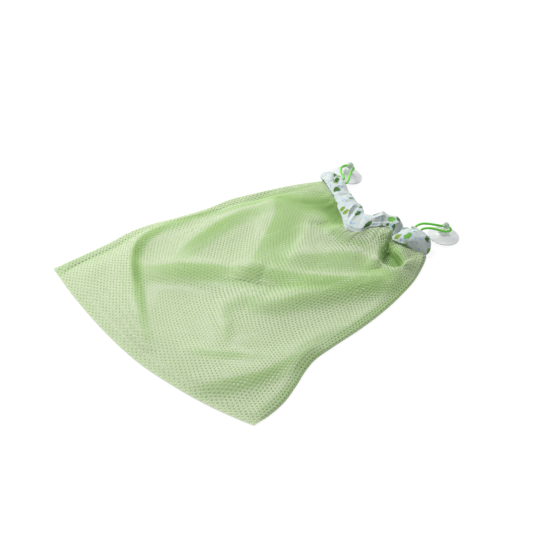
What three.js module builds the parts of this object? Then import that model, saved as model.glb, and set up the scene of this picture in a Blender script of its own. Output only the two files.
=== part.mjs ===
// Bath toy organizer: a net bag with a gathered, elasticated fabric cuff and two suction cups on cord loops.
// It lies empty on a flat surface, as it is put down. Millimetres, +Z up, +Y from the bottom fold to the
// mouth, +X across the bag. The origin is under the middle of the whole piece, on the surface it lies on.
import * as THREE from "three";

// Left between pieces that touch.
const clearance = 0.3;

// The net, laid out flat. Its bottom is a fold, and both its sides are sewn.
const bagWidth = 328; // corner to corner along the bottom fold
const bagLength = 320; // from the fold's corners to the corners of the mouth
const netThickness = 0.8;

// How far the upper layer of the net stands over the lower one.
const crownHeight = 7.5;
const crownRun = 40; // from the edge to the full height
const mouthRun = 60; // the net climbs to the cuff over this length
const foldHeight = 9; // the tallest fold of the upper layer

// A seam allowance lies between the two layers along each side.
const seamWidth = 8;
const seamThickness = 1.4;
const seamInset = 2; // from the edge of the net
const seamStart = 16; // from the bottom fold
const seamEnd = 8; // from the corner of the mouth

// The cuff is a strip of cloth folded into a tunnel, one over each layer of the net.
const cuffWidth = 27;
const cuffEndWidth = 19;
const cuffEndRun = 24; // the cuff narrows to its ends over this length
const clothThickness = 0.8;
const frontPuff = 9; // from ply to ply, at the middle
const frontEndPuff = 5; // and at the ends
const backPuff = 5;
const backEndPuff = 3.4;
const mouthHeight = 8; // the gap between the two cuffs, at the middle of the mouth
const ruffleHeight = 1.8;
const ruffleCount = 9;

// The elastic lies flat in each tunnel.
const elasticWidth = 8;
const elasticThickness = 1;

// A sewn stack of cloth closes each end of the mouth.
const endSeamThickness = 1.6;

// A bar of dense stitches holds the two ends of each loop at the rim of the cuff.
const tackLength = 14;
const tackDepth = 3;
const tackHeight = 4;

// A suction cup is one moulding: a dished disc, a neck and a mushroom head.
const cupRadius = 17.5;
const cupRimWidth = 1.2;
const cupRimThickness = 0.9;
const cupHollowDepth = 3.4;
const cupShoulderHeight = 9; // where the cone meets the neck
const cupNeckRadius = 3.1;
const cupNeckHeight = 3.8;
const cupHeadRadius = 3.8;
const cupHeadHeight = 4.9;
const cupFacets = 32;
const hollowShares = [0.5, 0.78]; // one point of the hollow: out to its edge, and up to its depth
const coneShares = [[0.55, 0.34], [0.2, 0.72]]; // the cone's points: out from neck to rim, up to the shoulder
const headShares = [[1, 0.12], [1, 0.5], [0.72, 0.88]]; // the head's points: of its radius and its height
const rightCupLean = 7; // degrees, away from the bag
const leftCupLean = 12;
const cupLeanBearing = 47; // degrees from +X, the way that both cups lean

// The loops of elastic cord.
const cordDiameter = 2.4;
const cordSides = 8;
const cordSteps = 46;

// How finely each sheet and strip is divided, across and along it, or along and around it.
const netFrontSteps = [32, 30];
const netBackSteps = [28, 9];
const frontCuffSteps = [48, 12];
const backCuffSteps = [24, 10];
const sideSeamSteps = 26;
const elasticSteps = 30;
const foldLineSteps = 24;

// Outlines over the floor, in shares of the bag's width and length.
const leftSideShares = [
  [-0.5, 0.012], [-0.49, 0.115], [-0.482, 0.24], [-0.483, 0.33], [-0.468, 0.41], [-0.433, 0.515],
  [-0.405, 0.62], [-0.392, 0.71], [-0.365, 0.79], [-0.32, 0.9],
];
const rightSideShares = [
  [0.5, -0.012], [0.5, 0.055], [0.488, 0.128], [0.46, 0.206], [0.433, 0.27], [0.415, 0.33],
  [0.41, 0.42], [0.408, 0.54], [0.4, 0.644], [0.381, 0.76], [0.355, 0.85],
];
const bottomFoldShares = [
  [-0.5, 0.012], [-0.348, -0.028], [-0.125, -0.069], [0.055, -0.084], [0.204, -0.075], [0.335, -0.056],
  [0.45, -0.028], [0.5, -0.012],
];
const cuffLineShares = [
  [-0.242, 1.034], [-0.173, 1.003], [-0.1, 0.969], [-0.024, 0.934], [0.036, 0.928], [0.085, 0.952],
  [0.127, 0.976], [0.17, 0.984], [0.212, 0.985], [0.2545, 0.987], [0.291, 0.975],
];

// The folds of the upper layer: each a line in shares across and along the net, its rise as a share of the
// tallest fold's height, and its reach to each side as a share of the bag's width.
const foldShares = [
  { across: [0.08, 0.16, 0.29, 0.41, 0.52], along: [0.31, 0.24, 0.16, 0.09, 0.03], rise: 0.6, reach: 0.03 },
  { across: [0.24, 0.33, 0.4, 0.47, 0.59, 0.71, 0.79], along: [0.26, 0.36, 0.47, 0.58, 0.65, 0.7, 0.79],
    rise: 1, reach: 0.042 },
  { across: [0.1, 0.23, 0.34, 0.42, 0.47], along: [0.85, 0.81, 0.73, 0.65, 0.57], rise: 0.8, reach: 0.036 },
  { across: [0.3, 0.18, 0.11, 0.1], along: [0.38, 0.52, 0.62, 0.72], rise: 0.4, reach: 0.03 },
  { across: [0.84, 0.92, 0.93, 0.94], along: [0.05, 0.2, 0.35, 0.5], rise: 0.5, reach: 0.026 },
  { across: [0.68, 0.74, 0.82, 0.9], along: [0.4, 0.53, 0.64, 0.75], rise: -0.35, reach: 0.04 },
];

// Where the pieces on the cuff's rim sit, as shares of the way along the cuff from its left end.
const leftTackShare = 0.1;
const rightTackShare = 0.845;

// Where the cups stand, as shares of the bag's width and length.
const leftCupShares = [-0.209, 1.124];
const rightCupShares = [0.2616, 1.1105];

// The routes of the loops' cords, point by point.
const leftCordRoute = [
  [-59.1, 340.9, 11.7], [-58.3, 342.8, 11.9], [-61.6, 345.6, 12.8], [-68.6, 348.6, 14.2], [-73, 353.4, 15],
  [-73.6, 358.4, 15.3], [-72.1, 362, 15], [-70.9, 364, 14.5], [-69.2, 365.6, 14], [-67, 366.1, 13.6],
  [-64.6, 365.4, 13.3], [-62.9, 363.6, 13.3], [-61.8, 360.6, 13.5], [-59.8, 355.8, 13.6], [-56.4, 350.4, 13.4],
  [-52.6, 345, 12.6], [-50.6, 339.4, 11.9], [-51.4, 337.5, 11.7],
];
const rightCordRoute = [
  [62.8, 332.6, 13.4], [62.9, 334.9, 14.1], [65.8, 339.6, 16.2], [71, 344.6, 16.6], [77, 350.4, 15.4],
  [80.8, 355.4, 13.6], [82.6, 358.8, 13.1], [84.4, 360.8, 12.8], [86.9, 361.6, 12.5], [89.7, 361, 12.4],
  [92, 359.3, 12.4], [93, 356.5, 12.5], [91.8, 353, 12.8], [88, 349.8, 13.4], [83.4, 346.2, 14.6],
  [78.2, 341.8, 15.8], [73.2, 337.8, 15], [71.3, 335, 14], [71.2, 332.7, 13.4],
];

const degree = Math.PI / 180;
const smooth = (t) => THREE.MathUtils.smoothstep(t, 0, 1);
const mix = THREE.MathUtils.lerp;

// A smooth line over the floor.
function lineThrough(pointShares, ...ends) {
  const points = pointShares.map(([x, y]) => new THREE.Vector3(x * bagWidth, y * bagLength, 0));
  return new THREE.CatmullRomCurve3([...points, ...ends], false, "centripetal");
}

// The square direction to the left of a line.
function squareTo(line, share) {
  const ahead = line.getTangentAt(share);
  return new THREE.Vector3(-ahead.y, ahead.x, 0);
}

// Makes a mesh's geometry from its corners and a list of triangles.
function closedBody(corners, triangles) {
  const geometry = new THREE.BufferGeometry();
  const numbers = corners.flatMap((corner) => [corner.x, corner.y, corner.z]);
  geometry.setAttribute("position", new THREE.Float32BufferAttribute(numbers, 3));
  geometry.setIndex(triangles.flat());
  geometry.computeVertexNormals();
  return geometry;
}

const mesh = (name, geometry, material) => Object.assign(new THREE.Mesh(geometry, material), { name });

// The finishes.
const finish = (color, roughness, extra) => () =>
  new THREE.MeshStandardMaterial({ color, roughness, metalness: 0, side: THREE.DoubleSide, ...extra });
const knittedNet = finish(0xb3d488, 0.85);
const seamedNet = finish(0x9cc472, 0.85);
const printedCotton = finish(0xe4ebee, 0.9);
const wovenElastic = finish(0xf2f2ee, 0.8);
const stitches = finish(0xdfe8e0, 0.8);
const elasticCord = finish(0x6cc944, 0.6);
const softPvc = finish(0xd8dadd, 0.2, { transparent: true, opacity: 0.6 });

// The cuff's middle line, and how wide and how thick it is along the way.
const cuffLine = lineThrough(cuffLineShares);
const cuffLength = cuffLine.getLength();

function cuffTaper(share) {
  const fromEnd = Math.min(share, 1 - share) * cuffLength;
  return smooth(fromEnd / cuffEndRun);
}

const cuffHalfWidth = (share) => mix(cuffEndWidth, cuffWidth, cuffTaper(share)) / 2;
const frontHalfPuff = (share) => mix(frontEndPuff, frontPuff, cuffTaper(share)) / 2;
const backHalfPuff = (share) => mix(backEndPuff, backPuff, cuffTaper(share)) / 2;

// The mouth gapes most at its middle.
const gape = (share) => mix(clearance, mouthHeight, Math.sin(Math.PI * share));
const backHeight = (share) => backHalfPuff(share);
const frontHeight = (share) => 2 * backHalfPuff(share) + gape(share) + frontHalfPuff(share);

// The edge of the net lies along the near side of the cuff.
function mouthEdge(share) {
  const away = squareTo(cuffLine, share).multiplyScalar(-cuffHalfWidth(share) - clearance);
  return cuffLine.getPointAt(share).add(away);
}

// The outline of the net. Its two sides end at the corners of the mouth.
const leftSide = lineThrough(leftSideShares, mouthEdge(0));
const rightSide = lineThrough(rightSideShares, mouthEdge(1));
const bottomFold = lineThrough(bottomFoldShares);

// A place on the net, from shares across and along it: a patch stretched between the four edges.
function netPlace(across, along) {
  const place = bottomFold.getPointAt(across).multiplyScalar(1 - along);
  place.addScaledVector(mouthEdge(across), along);
  place.addScaledVector(leftSide.getPointAt(along), 1 - across);
  place.addScaledVector(rightSide.getPointAt(along), across);
  place.addScaledVector(bottomFold.getPointAt(0), -(1 - across) * (1 - along));
  place.addScaledVector(bottomFold.getPointAt(1), -across * (1 - along));
  place.addScaledVector(mouthEdge(0), -(1 - across) * along);
  return place.addScaledVector(mouthEdge(1), -across * along);
}

// Each fold as a line of short straight steps over the floor.
const foldLines = foldShares.map(({ across, along, rise, reach }) => {
  const knots = across.map((share, i) => netPlace(share, along[i]));
  const line = new THREE.CatmullRomCurve3(knots, false, "centripetal");
  return { points: line.getPoints(foldLineSteps), rise: rise * foldHeight, reach: reach * bagWidth };
});

// How much the folds lift the upper layer at one place. A fold fades out towards its ends.
function foldLift(place) {
  let lift = 0;
  for (const { points, rise, reach } of foldLines) {
    let nearest = Infinity;
    let fade = 0;
    points.forEach((point, i) => {
      const distance = point.distanceTo(place);
      if (distance < nearest) {
        nearest = distance;
        fade = Math.sqrt(Math.sin((Math.PI * i) / (points.length - 1)) + Number.EPSILON);
      }
    });
    lift += rise * fade * Math.exp(-((nearest / reach) ** 2));
  }
  return lift;
}

// The height of the upper layer's underside.
function upperUnderside(across, along, place) {
  const sideStack = netThickness + clearance + seamThickness + clearance;
  const fromFold = along * bagLength;
  const fromSide = Math.min(across, 1 - across) * mix(bagWidth, cuffLength, along);
  const edge = mix(netThickness + clearance, sideStack, smooth(fromFold / seamStart));
  const inside = smooth(fromFold / crownRun) * smooth(fromSide / crownRun);
  const body = edge + inside * (crownHeight + foldLift(place));
  const climb = smooth((fromFold - bagLength + mouthRun) / mouthRun);
  return mix(body, frontHeight(across) - netThickness / 2, climb);
}

// A sheet over a grid of shares: its underside, its upper side and the wall round its edge.
function sheet([acrossSteps, alongSteps], undersideOf, thickness) {
  const row = acrossSteps + 1;
  const layer = row * (alongSteps + 1);
  const lower = [];
  for (let j = 0; j <= alongSteps; j += 1) {
    for (let i = 0; i <= acrossSteps; i += 1) {
      const place = netPlace(i / acrossSteps, j / alongSteps);
      place.z = undersideOf(i / acrossSteps, j / alongSteps, place);
      lower.push(place);
    }
  }
  const upper = lower.map((p) => new THREE.Vector3(p.x, p.y, p.z + thickness));
  const triangles = [];
  for (let j = 0; j < alongSteps; j += 1) {
    for (let i = 0; i < acrossSteps; i += 1) {
      const a = j * row + i;
      triangles.push([a, a + row, a + 1], [a + 1, a + row, a + row + 1]);
      triangles.push([a + layer, a + 1 + layer, a + row + layer]);
      triangles.push([a + 1 + layer, a + row + 1 + layer, a + row + layer]);
    }
  }
  const wall = (a, b) => triangles.push([a, b, a + layer], [b, b + layer, a + layer]);
  for (let i = 0; i < acrossSteps; i += 1) {
    wall(i, i + 1);
    wall(alongSteps * row + i + 1, alongSteps * row + i);
  }
  for (let j = 0; j < alongSteps; j += 1) {
    wall((j + 1) * row, j * row);
    wall(j * row + acrossSteps, (j + 1) * row + acrossSteps);
  }
  return closedBody([...lower, ...upper], triangles);
}

const netFront = () => mesh("net_front", sheet(netFrontSteps, upperUnderside, netThickness), knittedNet());
const netBack = () => mesh("net_back", sheet(netBackSteps, () => 0, netThickness), knittedNet());

// A flat strip along a line over the floor, between two shares of it, from one side of the line to the other.
function flatStrip(line, [start, end], steps, nearSide, farSide, undersideOf, thickness) {
  const corners = [];
  const triangles = [];
  for (let i = 0; i <= steps; i += 1) {
    const share = mix(start, end, i / steps);
    const near = line.getPointAt(share).addScaledVector(squareTo(line, share), nearSide);
    const far = line.getPointAt(share).addScaledVector(squareTo(line, share), farSide);
    near.z = undersideOf(share);
    far.z = undersideOf(share);
    corners.push(near, far);
    corners.push(near.clone().setZ(near.z + thickness), far.clone().setZ(far.z + thickness));
  }
  const ring = 4;
  const around = [0, 1, 3, 2];
  for (let i = 0; i < steps; i += 1) {
    around.forEach((from, k) => {
      const to = around[(k + 1) % ring];
      const [a, b] = [i * ring + from, i * ring + to];
      triangles.push([a, b, a + ring], [b, b + ring, a + ring]);
    });
  }
  const last = steps * ring;
  triangles.push([0, 2, 1], [1, 2, 3], [last, last + 1, last + 2], [last + 1, last + 3, last + 2]);
  return closedBody(corners, triangles);
}

// The side's seam allowance, sewn to the lower layer and covered by the upper one.
function sideSeam(name, line, inward) {
  const start = seamStart / line.getLength();
  const end = 1 - seamEnd / line.getLength();
  const sides = inward > 0 ? [seamInset, seamInset + seamWidth] : [-seamInset - seamWidth, -seamInset];
  const seat = () => netThickness + clearance;
  return mesh(name, flatStrip(line, [start, end], sideSeamSteps, ...sides, seat, seamThickness), seamedNet());
}

// One tunnel of the cuff: an oval tube of cloth with open ends, ruffled on its upper ply.
function cuffTunnel([steps, points], heightOf, halfPuffOf, ruffle) {
  const corners = [];
  const triangles = [];
  for (let i = 0; i <= steps; i += 1) {
    const share = i / steps;
    const middle = cuffLine.getPointAt(share);
    const toRim = squareTo(cuffLine, share);
    const wave = ruffle * cuffTaper(share) * Math.sin(2 * Math.PI * ruffleCount * share);
    for (const skin of [0, clothThickness]) {
      for (let k = 0; k < points; k += 1) {
        const turn = (2 * Math.PI * k) / points;
        const up = Math.sin(turn);
        const point = middle.clone().addScaledVector(toRim, (cuffHalfWidth(share) - skin) * Math.cos(turn));
        point.z = heightOf(share) + (halfPuffOf(share) - skin) * up + wave * Math.max(up, 0) ** 2;
        corners.push(point);
      }
    }
  }
  const ring = 2 * points;
  for (let k = 0; k < points; k += 1) {
    const next = (k + 1) % points;
    for (let i = 0; i < steps; i += 1) {
      const [a, b] = [i * ring + k, i * ring + next];
      triangles.push([a, b, a + ring], [b, b + ring, a + ring]);
      const [c, d] = [a + points, b + points];
      triangles.push([c, c + ring, d], [d, c + ring, d + ring]);
    }
    const last = steps * ring;
    triangles.push([k, k + points, next], [next, k + points, next + points]);
    triangles.push([last + k, last + next, last + k + points]);
    triangles.push([last + next, last + next + points, last + k + points]);
  }
  return closedBody(corners, triangles);
}

const cuffFront = () =>
  mesh("cuff_front", cuffTunnel(frontCuffSteps, frontHeight, frontHalfPuff, ruffleHeight), printedCotton());
const cuffBack = () =>
  mesh("cuff_back", cuffTunnel(backCuffSteps, backHeight, backHalfPuff, 0), printedCotton());

// The elastic lies on the lower ply of its tunnel, clear of the oval's curve at its own two edges.
function elastic(name, heightOf, halfPuffOf) {
  const seat = (share) => {
    const acrossShare = elasticWidth / 2 / (cuffHalfWidth(share) - clothThickness);
    const floor = (halfPuffOf(share) - clothThickness) * Math.cos(Math.asin(acrossShare));
    return heightOf(share) - floor + clearance;
  };
  const ends = [clearance / cuffLength, 1 - clearance / cuffLength];
  const sides = [-elasticWidth / 2, elasticWidth / 2];
  const band = flatStrip(cuffLine, ends, elasticSteps, ...sides, seat, elasticThickness);
  return mesh(name, band, wovenElastic());
}

// The sewn stack at one end of the mouth stands across the ends of both tunnels.
function endSeam(name, share) {
  const height = 2 * (backHalfPuff(share) + frontHalfPuff(share)) + clearance;
  const block = new THREE.BoxGeometry(endSeamThickness, cuffEndWidth, height);
  const piece = mesh(name, block, stitches());
  const ahead = cuffLine.getTangentAt(share);
  const outward = share > 0 ? clearance + endSeamThickness / 2 : -clearance - endSeamThickness / 2;
  piece.position.copy(cuffLine.getPointAt(share)).addScaledVector(ahead, outward).setZ(height / 2);
  piece.rotation.z = Math.atan2(ahead.y, ahead.x);
  return piece;
}

// The bar of stitches at the rim of the upper cuff, where a loop's two ends come out. It is straight, so it
// touches the cuff where the rim reaches furthest along it.
function loopTack(name, share) {
  const piece = mesh(name, new THREE.BoxGeometry(tackLength, tackDepth, tackHeight), stitches());
  const place = cuffLine.getPointAt(share);
  const toRim = squareTo(cuffLine, share);
  const span = tackLength / 2 / cuffLength;
  const reach = [-1, -0.5, 0, 0.5, 1].map((step) => {
    const near = share + step * span;
    const rim = cuffLine.getPointAt(near).addScaledVector(squareTo(cuffLine, near), cuffHalfWidth(near));
    return rim.sub(place).dot(toRim);
  });
  piece.position.copy(place).addScaledVector(toRim, Math.max(...reach) + clearance + tackDepth / 2);
  piece.position.z = frontHeight(share);
  piece.rotation.z = Math.atan2(-toRim.x, toRim.y);
  return piece;
}

// A loop of cord, from one end round the neck of its cup to the other.
function cordLoop(name, route) {
  const section = new THREE.Shape();
  for (let k = 0; k < cordSides; k += 1) {
    const turn = (2 * Math.PI * k) / cordSides;
    const [x, y] = [(Math.cos(turn) * cordDiameter) / 2, (Math.sin(turn) * cordDiameter) / 2];
    if (k === 0) section.moveTo(x, y);
    else section.lineTo(x, y);
  }
  section.closePath();
  const extrudePath = new THREE.CatmullRomCurve3(route.map((p) => new THREE.Vector3(...p)));
  const geometry = new THREE.ExtrudeGeometry(section, { steps: cordSteps, extrudePath });
  return mesh(name, geometry, elasticCord());
}

// A suction cup, turned about its axis, with its flat rim down. It leans on the edge of its rim.
function suctionCup(name, [xShare, yShare], lean) {
  const neckTop = cupShoulderHeight + cupNeckHeight;
  const innerRadius = cupRadius - cupRimWidth;
  const outline = [
    [0, cupHollowDepth], [innerRadius * hollowShares[0], cupHollowDepth * hollowShares[1]], [innerRadius, 0],
    [cupRadius, 0], [cupRadius, cupRimThickness],
    ...coneShares.map(([out, up]) => [
      mix(cupNeckRadius, cupRadius, out), mix(cupRimThickness, cupShoulderHeight, up),
    ]),
    [cupNeckRadius, cupShoulderHeight], [cupNeckRadius, neckTop],
    ...headShares.map(([out, up]) => [cupHeadRadius * out, neckTop + cupHeadHeight * up]),
    [0, neckTop + cupHeadHeight],
  ];
  const geometry = new THREE.LatheGeometry(outline.map(([r, z]) => new THREE.Vector2(r, z)), cupFacets);
  geometry.rotateX(Math.PI / 2);
  const piece = mesh(name, geometry, softPvc());
  const bearing = cupLeanBearing * degree;
  const hinge = new THREE.Vector3(-Math.sin(bearing), Math.cos(bearing), 0);
  piece.quaternion.setFromAxisAngle(hinge, lean * degree);
  piece.position.set(xShare * bagWidth, yShare * bagLength, cupRadius * Math.sin(lean * degree));
  return piece;
}

const bag = new THREE.Group();
bag.add(netFront(), netBack());
bag.add(sideSeam("side_seam_left", leftSide, -1), sideSeam("side_seam_right", rightSide, 1));
bag.add(cuffFront(), cuffBack());
bag.add(elastic("elastic_front", frontHeight, frontHalfPuff));
bag.add(elastic("elastic_back", backHeight, backHalfPuff));
bag.add(endSeam("cuff_seam_left", 0), endSeam("cuff_seam_right", 1));
bag.add(loopTack("loop_tack_left", leftTackShare), loopTack("loop_tack_right", rightTackShare));
bag.add(cordLoop("loop_left", leftCordRoute), cordLoop("loop_right", rightCordRoute));
bag.add(suctionCup("suction_cup_left", leftCupShares, leftCupLean));
bag.add(suctionCup("suction_cup_right", rightCupShares, rightCupLean));

// The origin goes under the middle of the whole piece.
const middle = new THREE.Box3().setFromObject(bag, true).getCenter(new THREE.Vector3());
bag.position.set(-middle.x, -middle.y, 0);

const organizer = new THREE.Group();
organizer.add(bag);
export default organizer;
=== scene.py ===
# %% [markdown]
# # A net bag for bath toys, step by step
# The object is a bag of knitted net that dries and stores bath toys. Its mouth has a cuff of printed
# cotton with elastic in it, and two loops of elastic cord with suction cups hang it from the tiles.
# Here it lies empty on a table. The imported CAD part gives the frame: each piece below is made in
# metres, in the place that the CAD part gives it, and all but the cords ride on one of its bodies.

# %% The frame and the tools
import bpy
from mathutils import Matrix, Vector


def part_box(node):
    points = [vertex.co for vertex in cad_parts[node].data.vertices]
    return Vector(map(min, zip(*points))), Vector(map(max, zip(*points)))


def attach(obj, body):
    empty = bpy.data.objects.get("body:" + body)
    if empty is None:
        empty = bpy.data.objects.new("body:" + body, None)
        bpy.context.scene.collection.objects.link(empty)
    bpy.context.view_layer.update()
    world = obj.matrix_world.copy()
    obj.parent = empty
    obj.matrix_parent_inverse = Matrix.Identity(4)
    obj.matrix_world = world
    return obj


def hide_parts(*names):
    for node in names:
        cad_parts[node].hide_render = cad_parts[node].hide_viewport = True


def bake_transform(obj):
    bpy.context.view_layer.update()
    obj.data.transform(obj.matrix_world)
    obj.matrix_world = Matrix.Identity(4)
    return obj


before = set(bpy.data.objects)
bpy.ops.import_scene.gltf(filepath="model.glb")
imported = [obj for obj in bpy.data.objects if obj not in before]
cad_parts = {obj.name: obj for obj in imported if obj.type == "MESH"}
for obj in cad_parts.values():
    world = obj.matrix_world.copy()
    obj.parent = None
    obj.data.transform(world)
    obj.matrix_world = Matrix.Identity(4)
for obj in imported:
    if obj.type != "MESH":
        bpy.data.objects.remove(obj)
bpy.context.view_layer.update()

import math

import bpy
import numpy as np
from mathutils import Matrix, Vector

# %% [markdown]
# Sizes in the comments are in millimetres, and Blender works in metres, so one name holds the factor.
# The sizes of the bag are the ones that the CAD part was built from. A share is a part of a whole: a
# place on the bag is given in shares of its width and its length, as a tailor would mark a pattern.

# %% Units and small helpers
mm = 0.001


def smooth(t):
    """0 before 0, 1 after 1, and a soft step between."""
    t = np.clip(t, 0, 1)
    return t * t * (3 - 2 * t)


def bell(t, power=2):
    """1 at 0, falling softly to 0 on both sides; a higher power has a flatter top and steeper sides."""
    return np.exp(-(t**power))


def mix(a, b, share):
    return a + (b - a) * share


def select(*pieces):
    """Selects these pieces alone, the first as the active one; the CAD nodes are selected after loading."""
    bpy.ops.object.select_all(action="DESELECT")
    for piece in reversed(pieces):
        piece.select_set(True)
        bpy.context.view_layer.objects.active = piece


def new_object(name, data):
    thing = bpy.data.objects.new(name, data)
    bpy.context.scene.collection.objects.link(thing)
    return thing


def report(piece):
    """Prints a piece's faces and its box in millimetres, and hands the piece on."""
    points = np.array([vertex.co[:] for vertex in piece.data.vertices]) / mm
    print(piece.name, len(piece.data.polygons), "faces, mm:", points.min(0).round(1), points.max(0).round(1))
    return piece


print("a soft step in quarters:", smooth(np.linspace(0, 1, 5)).round(2))

# %% [markdown]
# ## The camera
# The photograph looks down at the bag at 38 degrees, from its right, with a long lens: the bag's far
# and near parts keep nearly the same scale. The picture is square, so one angle sets the lens. The
# camera comes first because the outline and the folds below were fitted to what it sees.

# %% Camera
camera_target = Vector((-10.7, 0.9, 0)) * mm
camera_distance = 1.75
camera_elevation = math.radians(38)
camera_ahead = Vector((-0.730, 0.683, 0)).normalized()
lens_angle = math.radians(18.79)

look = camera_ahead * math.cos(camera_elevation) - Vector((0, 0, math.sin(camera_elevation)))
camera_data = bpy.data.cameras.new("camera")
camera_data.angle = lens_angle
camera = new_object("camera", camera_data)
camera.location = camera_target - look * camera_distance
camera.rotation_euler = look.to_track_quat("-Z", "Y").to_euler()
bpy.context.scene.camera = camera
print("camera at", [round(x, 3) for x in camera.location])

# %% [markdown]
# ## Lines
# A smooth line through chosen points is a centripetal Catmull-Rom curve: it passes through every
# point and makes no loops where two points lie close together. The line is walked by length, so
# that equal shares of it are equal lengths of cloth or cord.

# %% Smooth lines
line_steps = 24
least_root = 1e-4  # keeps two equal points apart
ahead_step = 0.002


def way_along(path):
    """The length gone at each point of a path."""
    return np.concatenate([[0], np.cumsum(np.linalg.norm(np.diff(path, axis=0), axis=1))])


def smooth_line(points):
    """A function from shares of a line's length to places on it, and the length."""
    p = np.asarray(points, float)
    p = np.vstack([2 * p[0] - p[1], p, 2 * p[-1] - p[-2]])
    t = np.linspace(0, 1, line_steps, endpoint=False)[:, None]
    dense = []
    for a, b, c, d in zip(p, p[1:], p[2:], p[3:]):
        ab, bc, cd = (max(math.sqrt(np.linalg.norm(q - r)), least_root) for q, r in ((b, a), (c, b), (d, c)))
        start = ((b - a) / ab - (c - a) / (ab + bc) + (c - b) / bc) * bc
        end = ((c - b) / bc - (d - b) / (bc + cd) + (d - c) / cd) * bc
        cubic = (2 * t**3 - 3 * t**2 + 1) * b + (t**3 - 2 * t**2 + t) * start
        dense.append(cubic + (3 * t**2 - 2 * t**3) * c + (t**3 - t**2) * end)
    dense = np.vstack(dense + [p[-2:-1]])
    gone = way_along(dense)

    def place(share):
        way = np.asarray(share, float) * gone[-1]
        return np.stack([np.interp(way, gone, column) for column in dense.T], -1)

    return place, gone[-1]


def left_of(line, share):
    """The square direction to the left of a line on the floor."""
    share = np.asarray(share, float)
    ahead = line(np.clip(share + ahead_step, 0, 1)) - line(np.clip(share - ahead_step, 0, 1))
    ahead = ahead / np.linalg.norm(ahead, axis=-1, keepdims=True)
    return np.stack([-ahead[..., 1], ahead[..., 0]], -1)


def beside(line, share, reach):
    """Places that lie a reach to the left of a line."""
    return line(share) + left_of(line, share) * np.asarray(reach)[..., None]


print("length of a line round three corners of a square:", round(smooth_line([(0, 0), (1, 0), (1, 1)])[1], 2))

# %% [markdown]
# ## The outline of the bag
# The bag's outline was fitted to the photograph: a wide, curved bottom fold, two sides, and the line
# of the cuff. The net narrows to the cuff because the elastic gathers it. A Coons patch fills the
# outline: it stretches between four border lines, so any pair of shares across and along the cloth
# gives a place on the floor, and rows of the knit follow the borders as they do in the real bag.

# %% Outline of the bag
bag_width, bag_length = 328 * mm, 320 * mm
clearance = 0.3 * mm
cuff_width, cuff_end_width, cuff_end_run = 27 * mm, 19 * mm, 24 * mm

left_side_shares = [
    (-0.5, 0.012), (-0.49, 0.115), (-0.482, 0.24), (-0.483, 0.33), (-0.468, 0.41), (-0.433, 0.515),
    (-0.405, 0.62), (-0.392, 0.71), (-0.365, 0.79), (-0.32, 0.9),
]
right_side_shares = [
    (0.5, -0.012), (0.5, 0.055), (0.488, 0.128), (0.46, 0.206), (0.433, 0.27), (0.415, 0.33),
    (0.41, 0.42), (0.408, 0.54), (0.4, 0.644), (0.381, 0.76), (0.355, 0.85),
]
bottom_fold_shares = [
    (-0.5, 0.012), (-0.348, -0.028), (-0.125, -0.069), (0.055, -0.084), (0.204, -0.075),
    (0.335, -0.056), (0.45, -0.028), (0.5, -0.012),
]
cuff_line_shares = [
    (-0.242, 1.034), (-0.173, 1.003), (-0.1, 0.969), (-0.024, 0.934), (0.036, 0.928), (0.085, 0.952),
    (0.127, 0.976), (0.17, 0.984), (0.212, 0.985), (0.2545, 0.987), (0.291, 0.975),
]


def in_metres(shares):
    return [(x * bag_width, y * bag_length) for x, y in shares]


def cuff_taper(share):
    """0 at the cuff's ends and 1 between them."""
    return smooth(np.minimum(share, 1 - share) * cuff_length / cuff_end_run)


def half_along_cuff(end, middle):
    """Half of a width or thickness at each share of the cuff, from the whole one at its ends and between."""
    return lambda share: mix(end, middle, cuff_taper(share)) / 2


cuff_line, cuff_length = smooth_line(in_metres(cuff_line_shares))
cuff_half_width = half_along_cuff(cuff_end_width, cuff_width)


def mouth_edge(share):
    """The edge of the net lies along the near side of the cuff."""
    return beside(cuff_line, share, -cuff_half_width(share) - clearance)


left_side, left_length = smooth_line(in_metres(left_side_shares) + [mouth_edge(0.0)])
right_side, right_length = smooth_line(in_metres(right_side_shares) + [mouth_edge(1.0)])
bottom_fold, fold_length = smooth_line(in_metres(bottom_fold_shares))
print("cuff, left side, right side and bottom fold in mm:",
      [round(length / mm) for length in (cuff_length, left_length, right_length, fold_length)])

# %% The patch between the borders
border_steps = 400
borders = np.vstack([line(np.linspace(0, 1, border_steps)) for line in (left_side, right_side, bottom_fold)])
net_low, net_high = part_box("net_back")
shift = (np.array((net_low + net_high)[:2]) - borders.min(0) - borders.max(0)) / 2


def net_place(across, along):
    """A place on the floor under the net, in the bag's own frame."""
    across, along = np.asarray(across, float), np.asarray(along, float)
    u, v = across[..., None], along[..., None]
    between_ends = mix(bottom_fold(across), mouth_edge(across), v)
    between_sides = mix(left_side(along), right_side(along), u)
    ends = [mix(end(0.0), end(1.0), u) for end in (bottom_fold, mouth_edge)]
    return between_ends + between_sides - mix(ends[0], ends[1], v)


print("shift of the bag's own frame in mm:", np.round(shift / mm, 2))

# %% [markdown]
# ## The outline of the gathered cuff
# The elastic gathers the cuff unevenly, so it wanders: in some places it leans over the net and in
# others it is pushed back from it. The table gives how far the rim and the hem stand from the cuff's
# middle line, as the photograph shows them. Both cuffs and both layers of net follow it.

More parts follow.
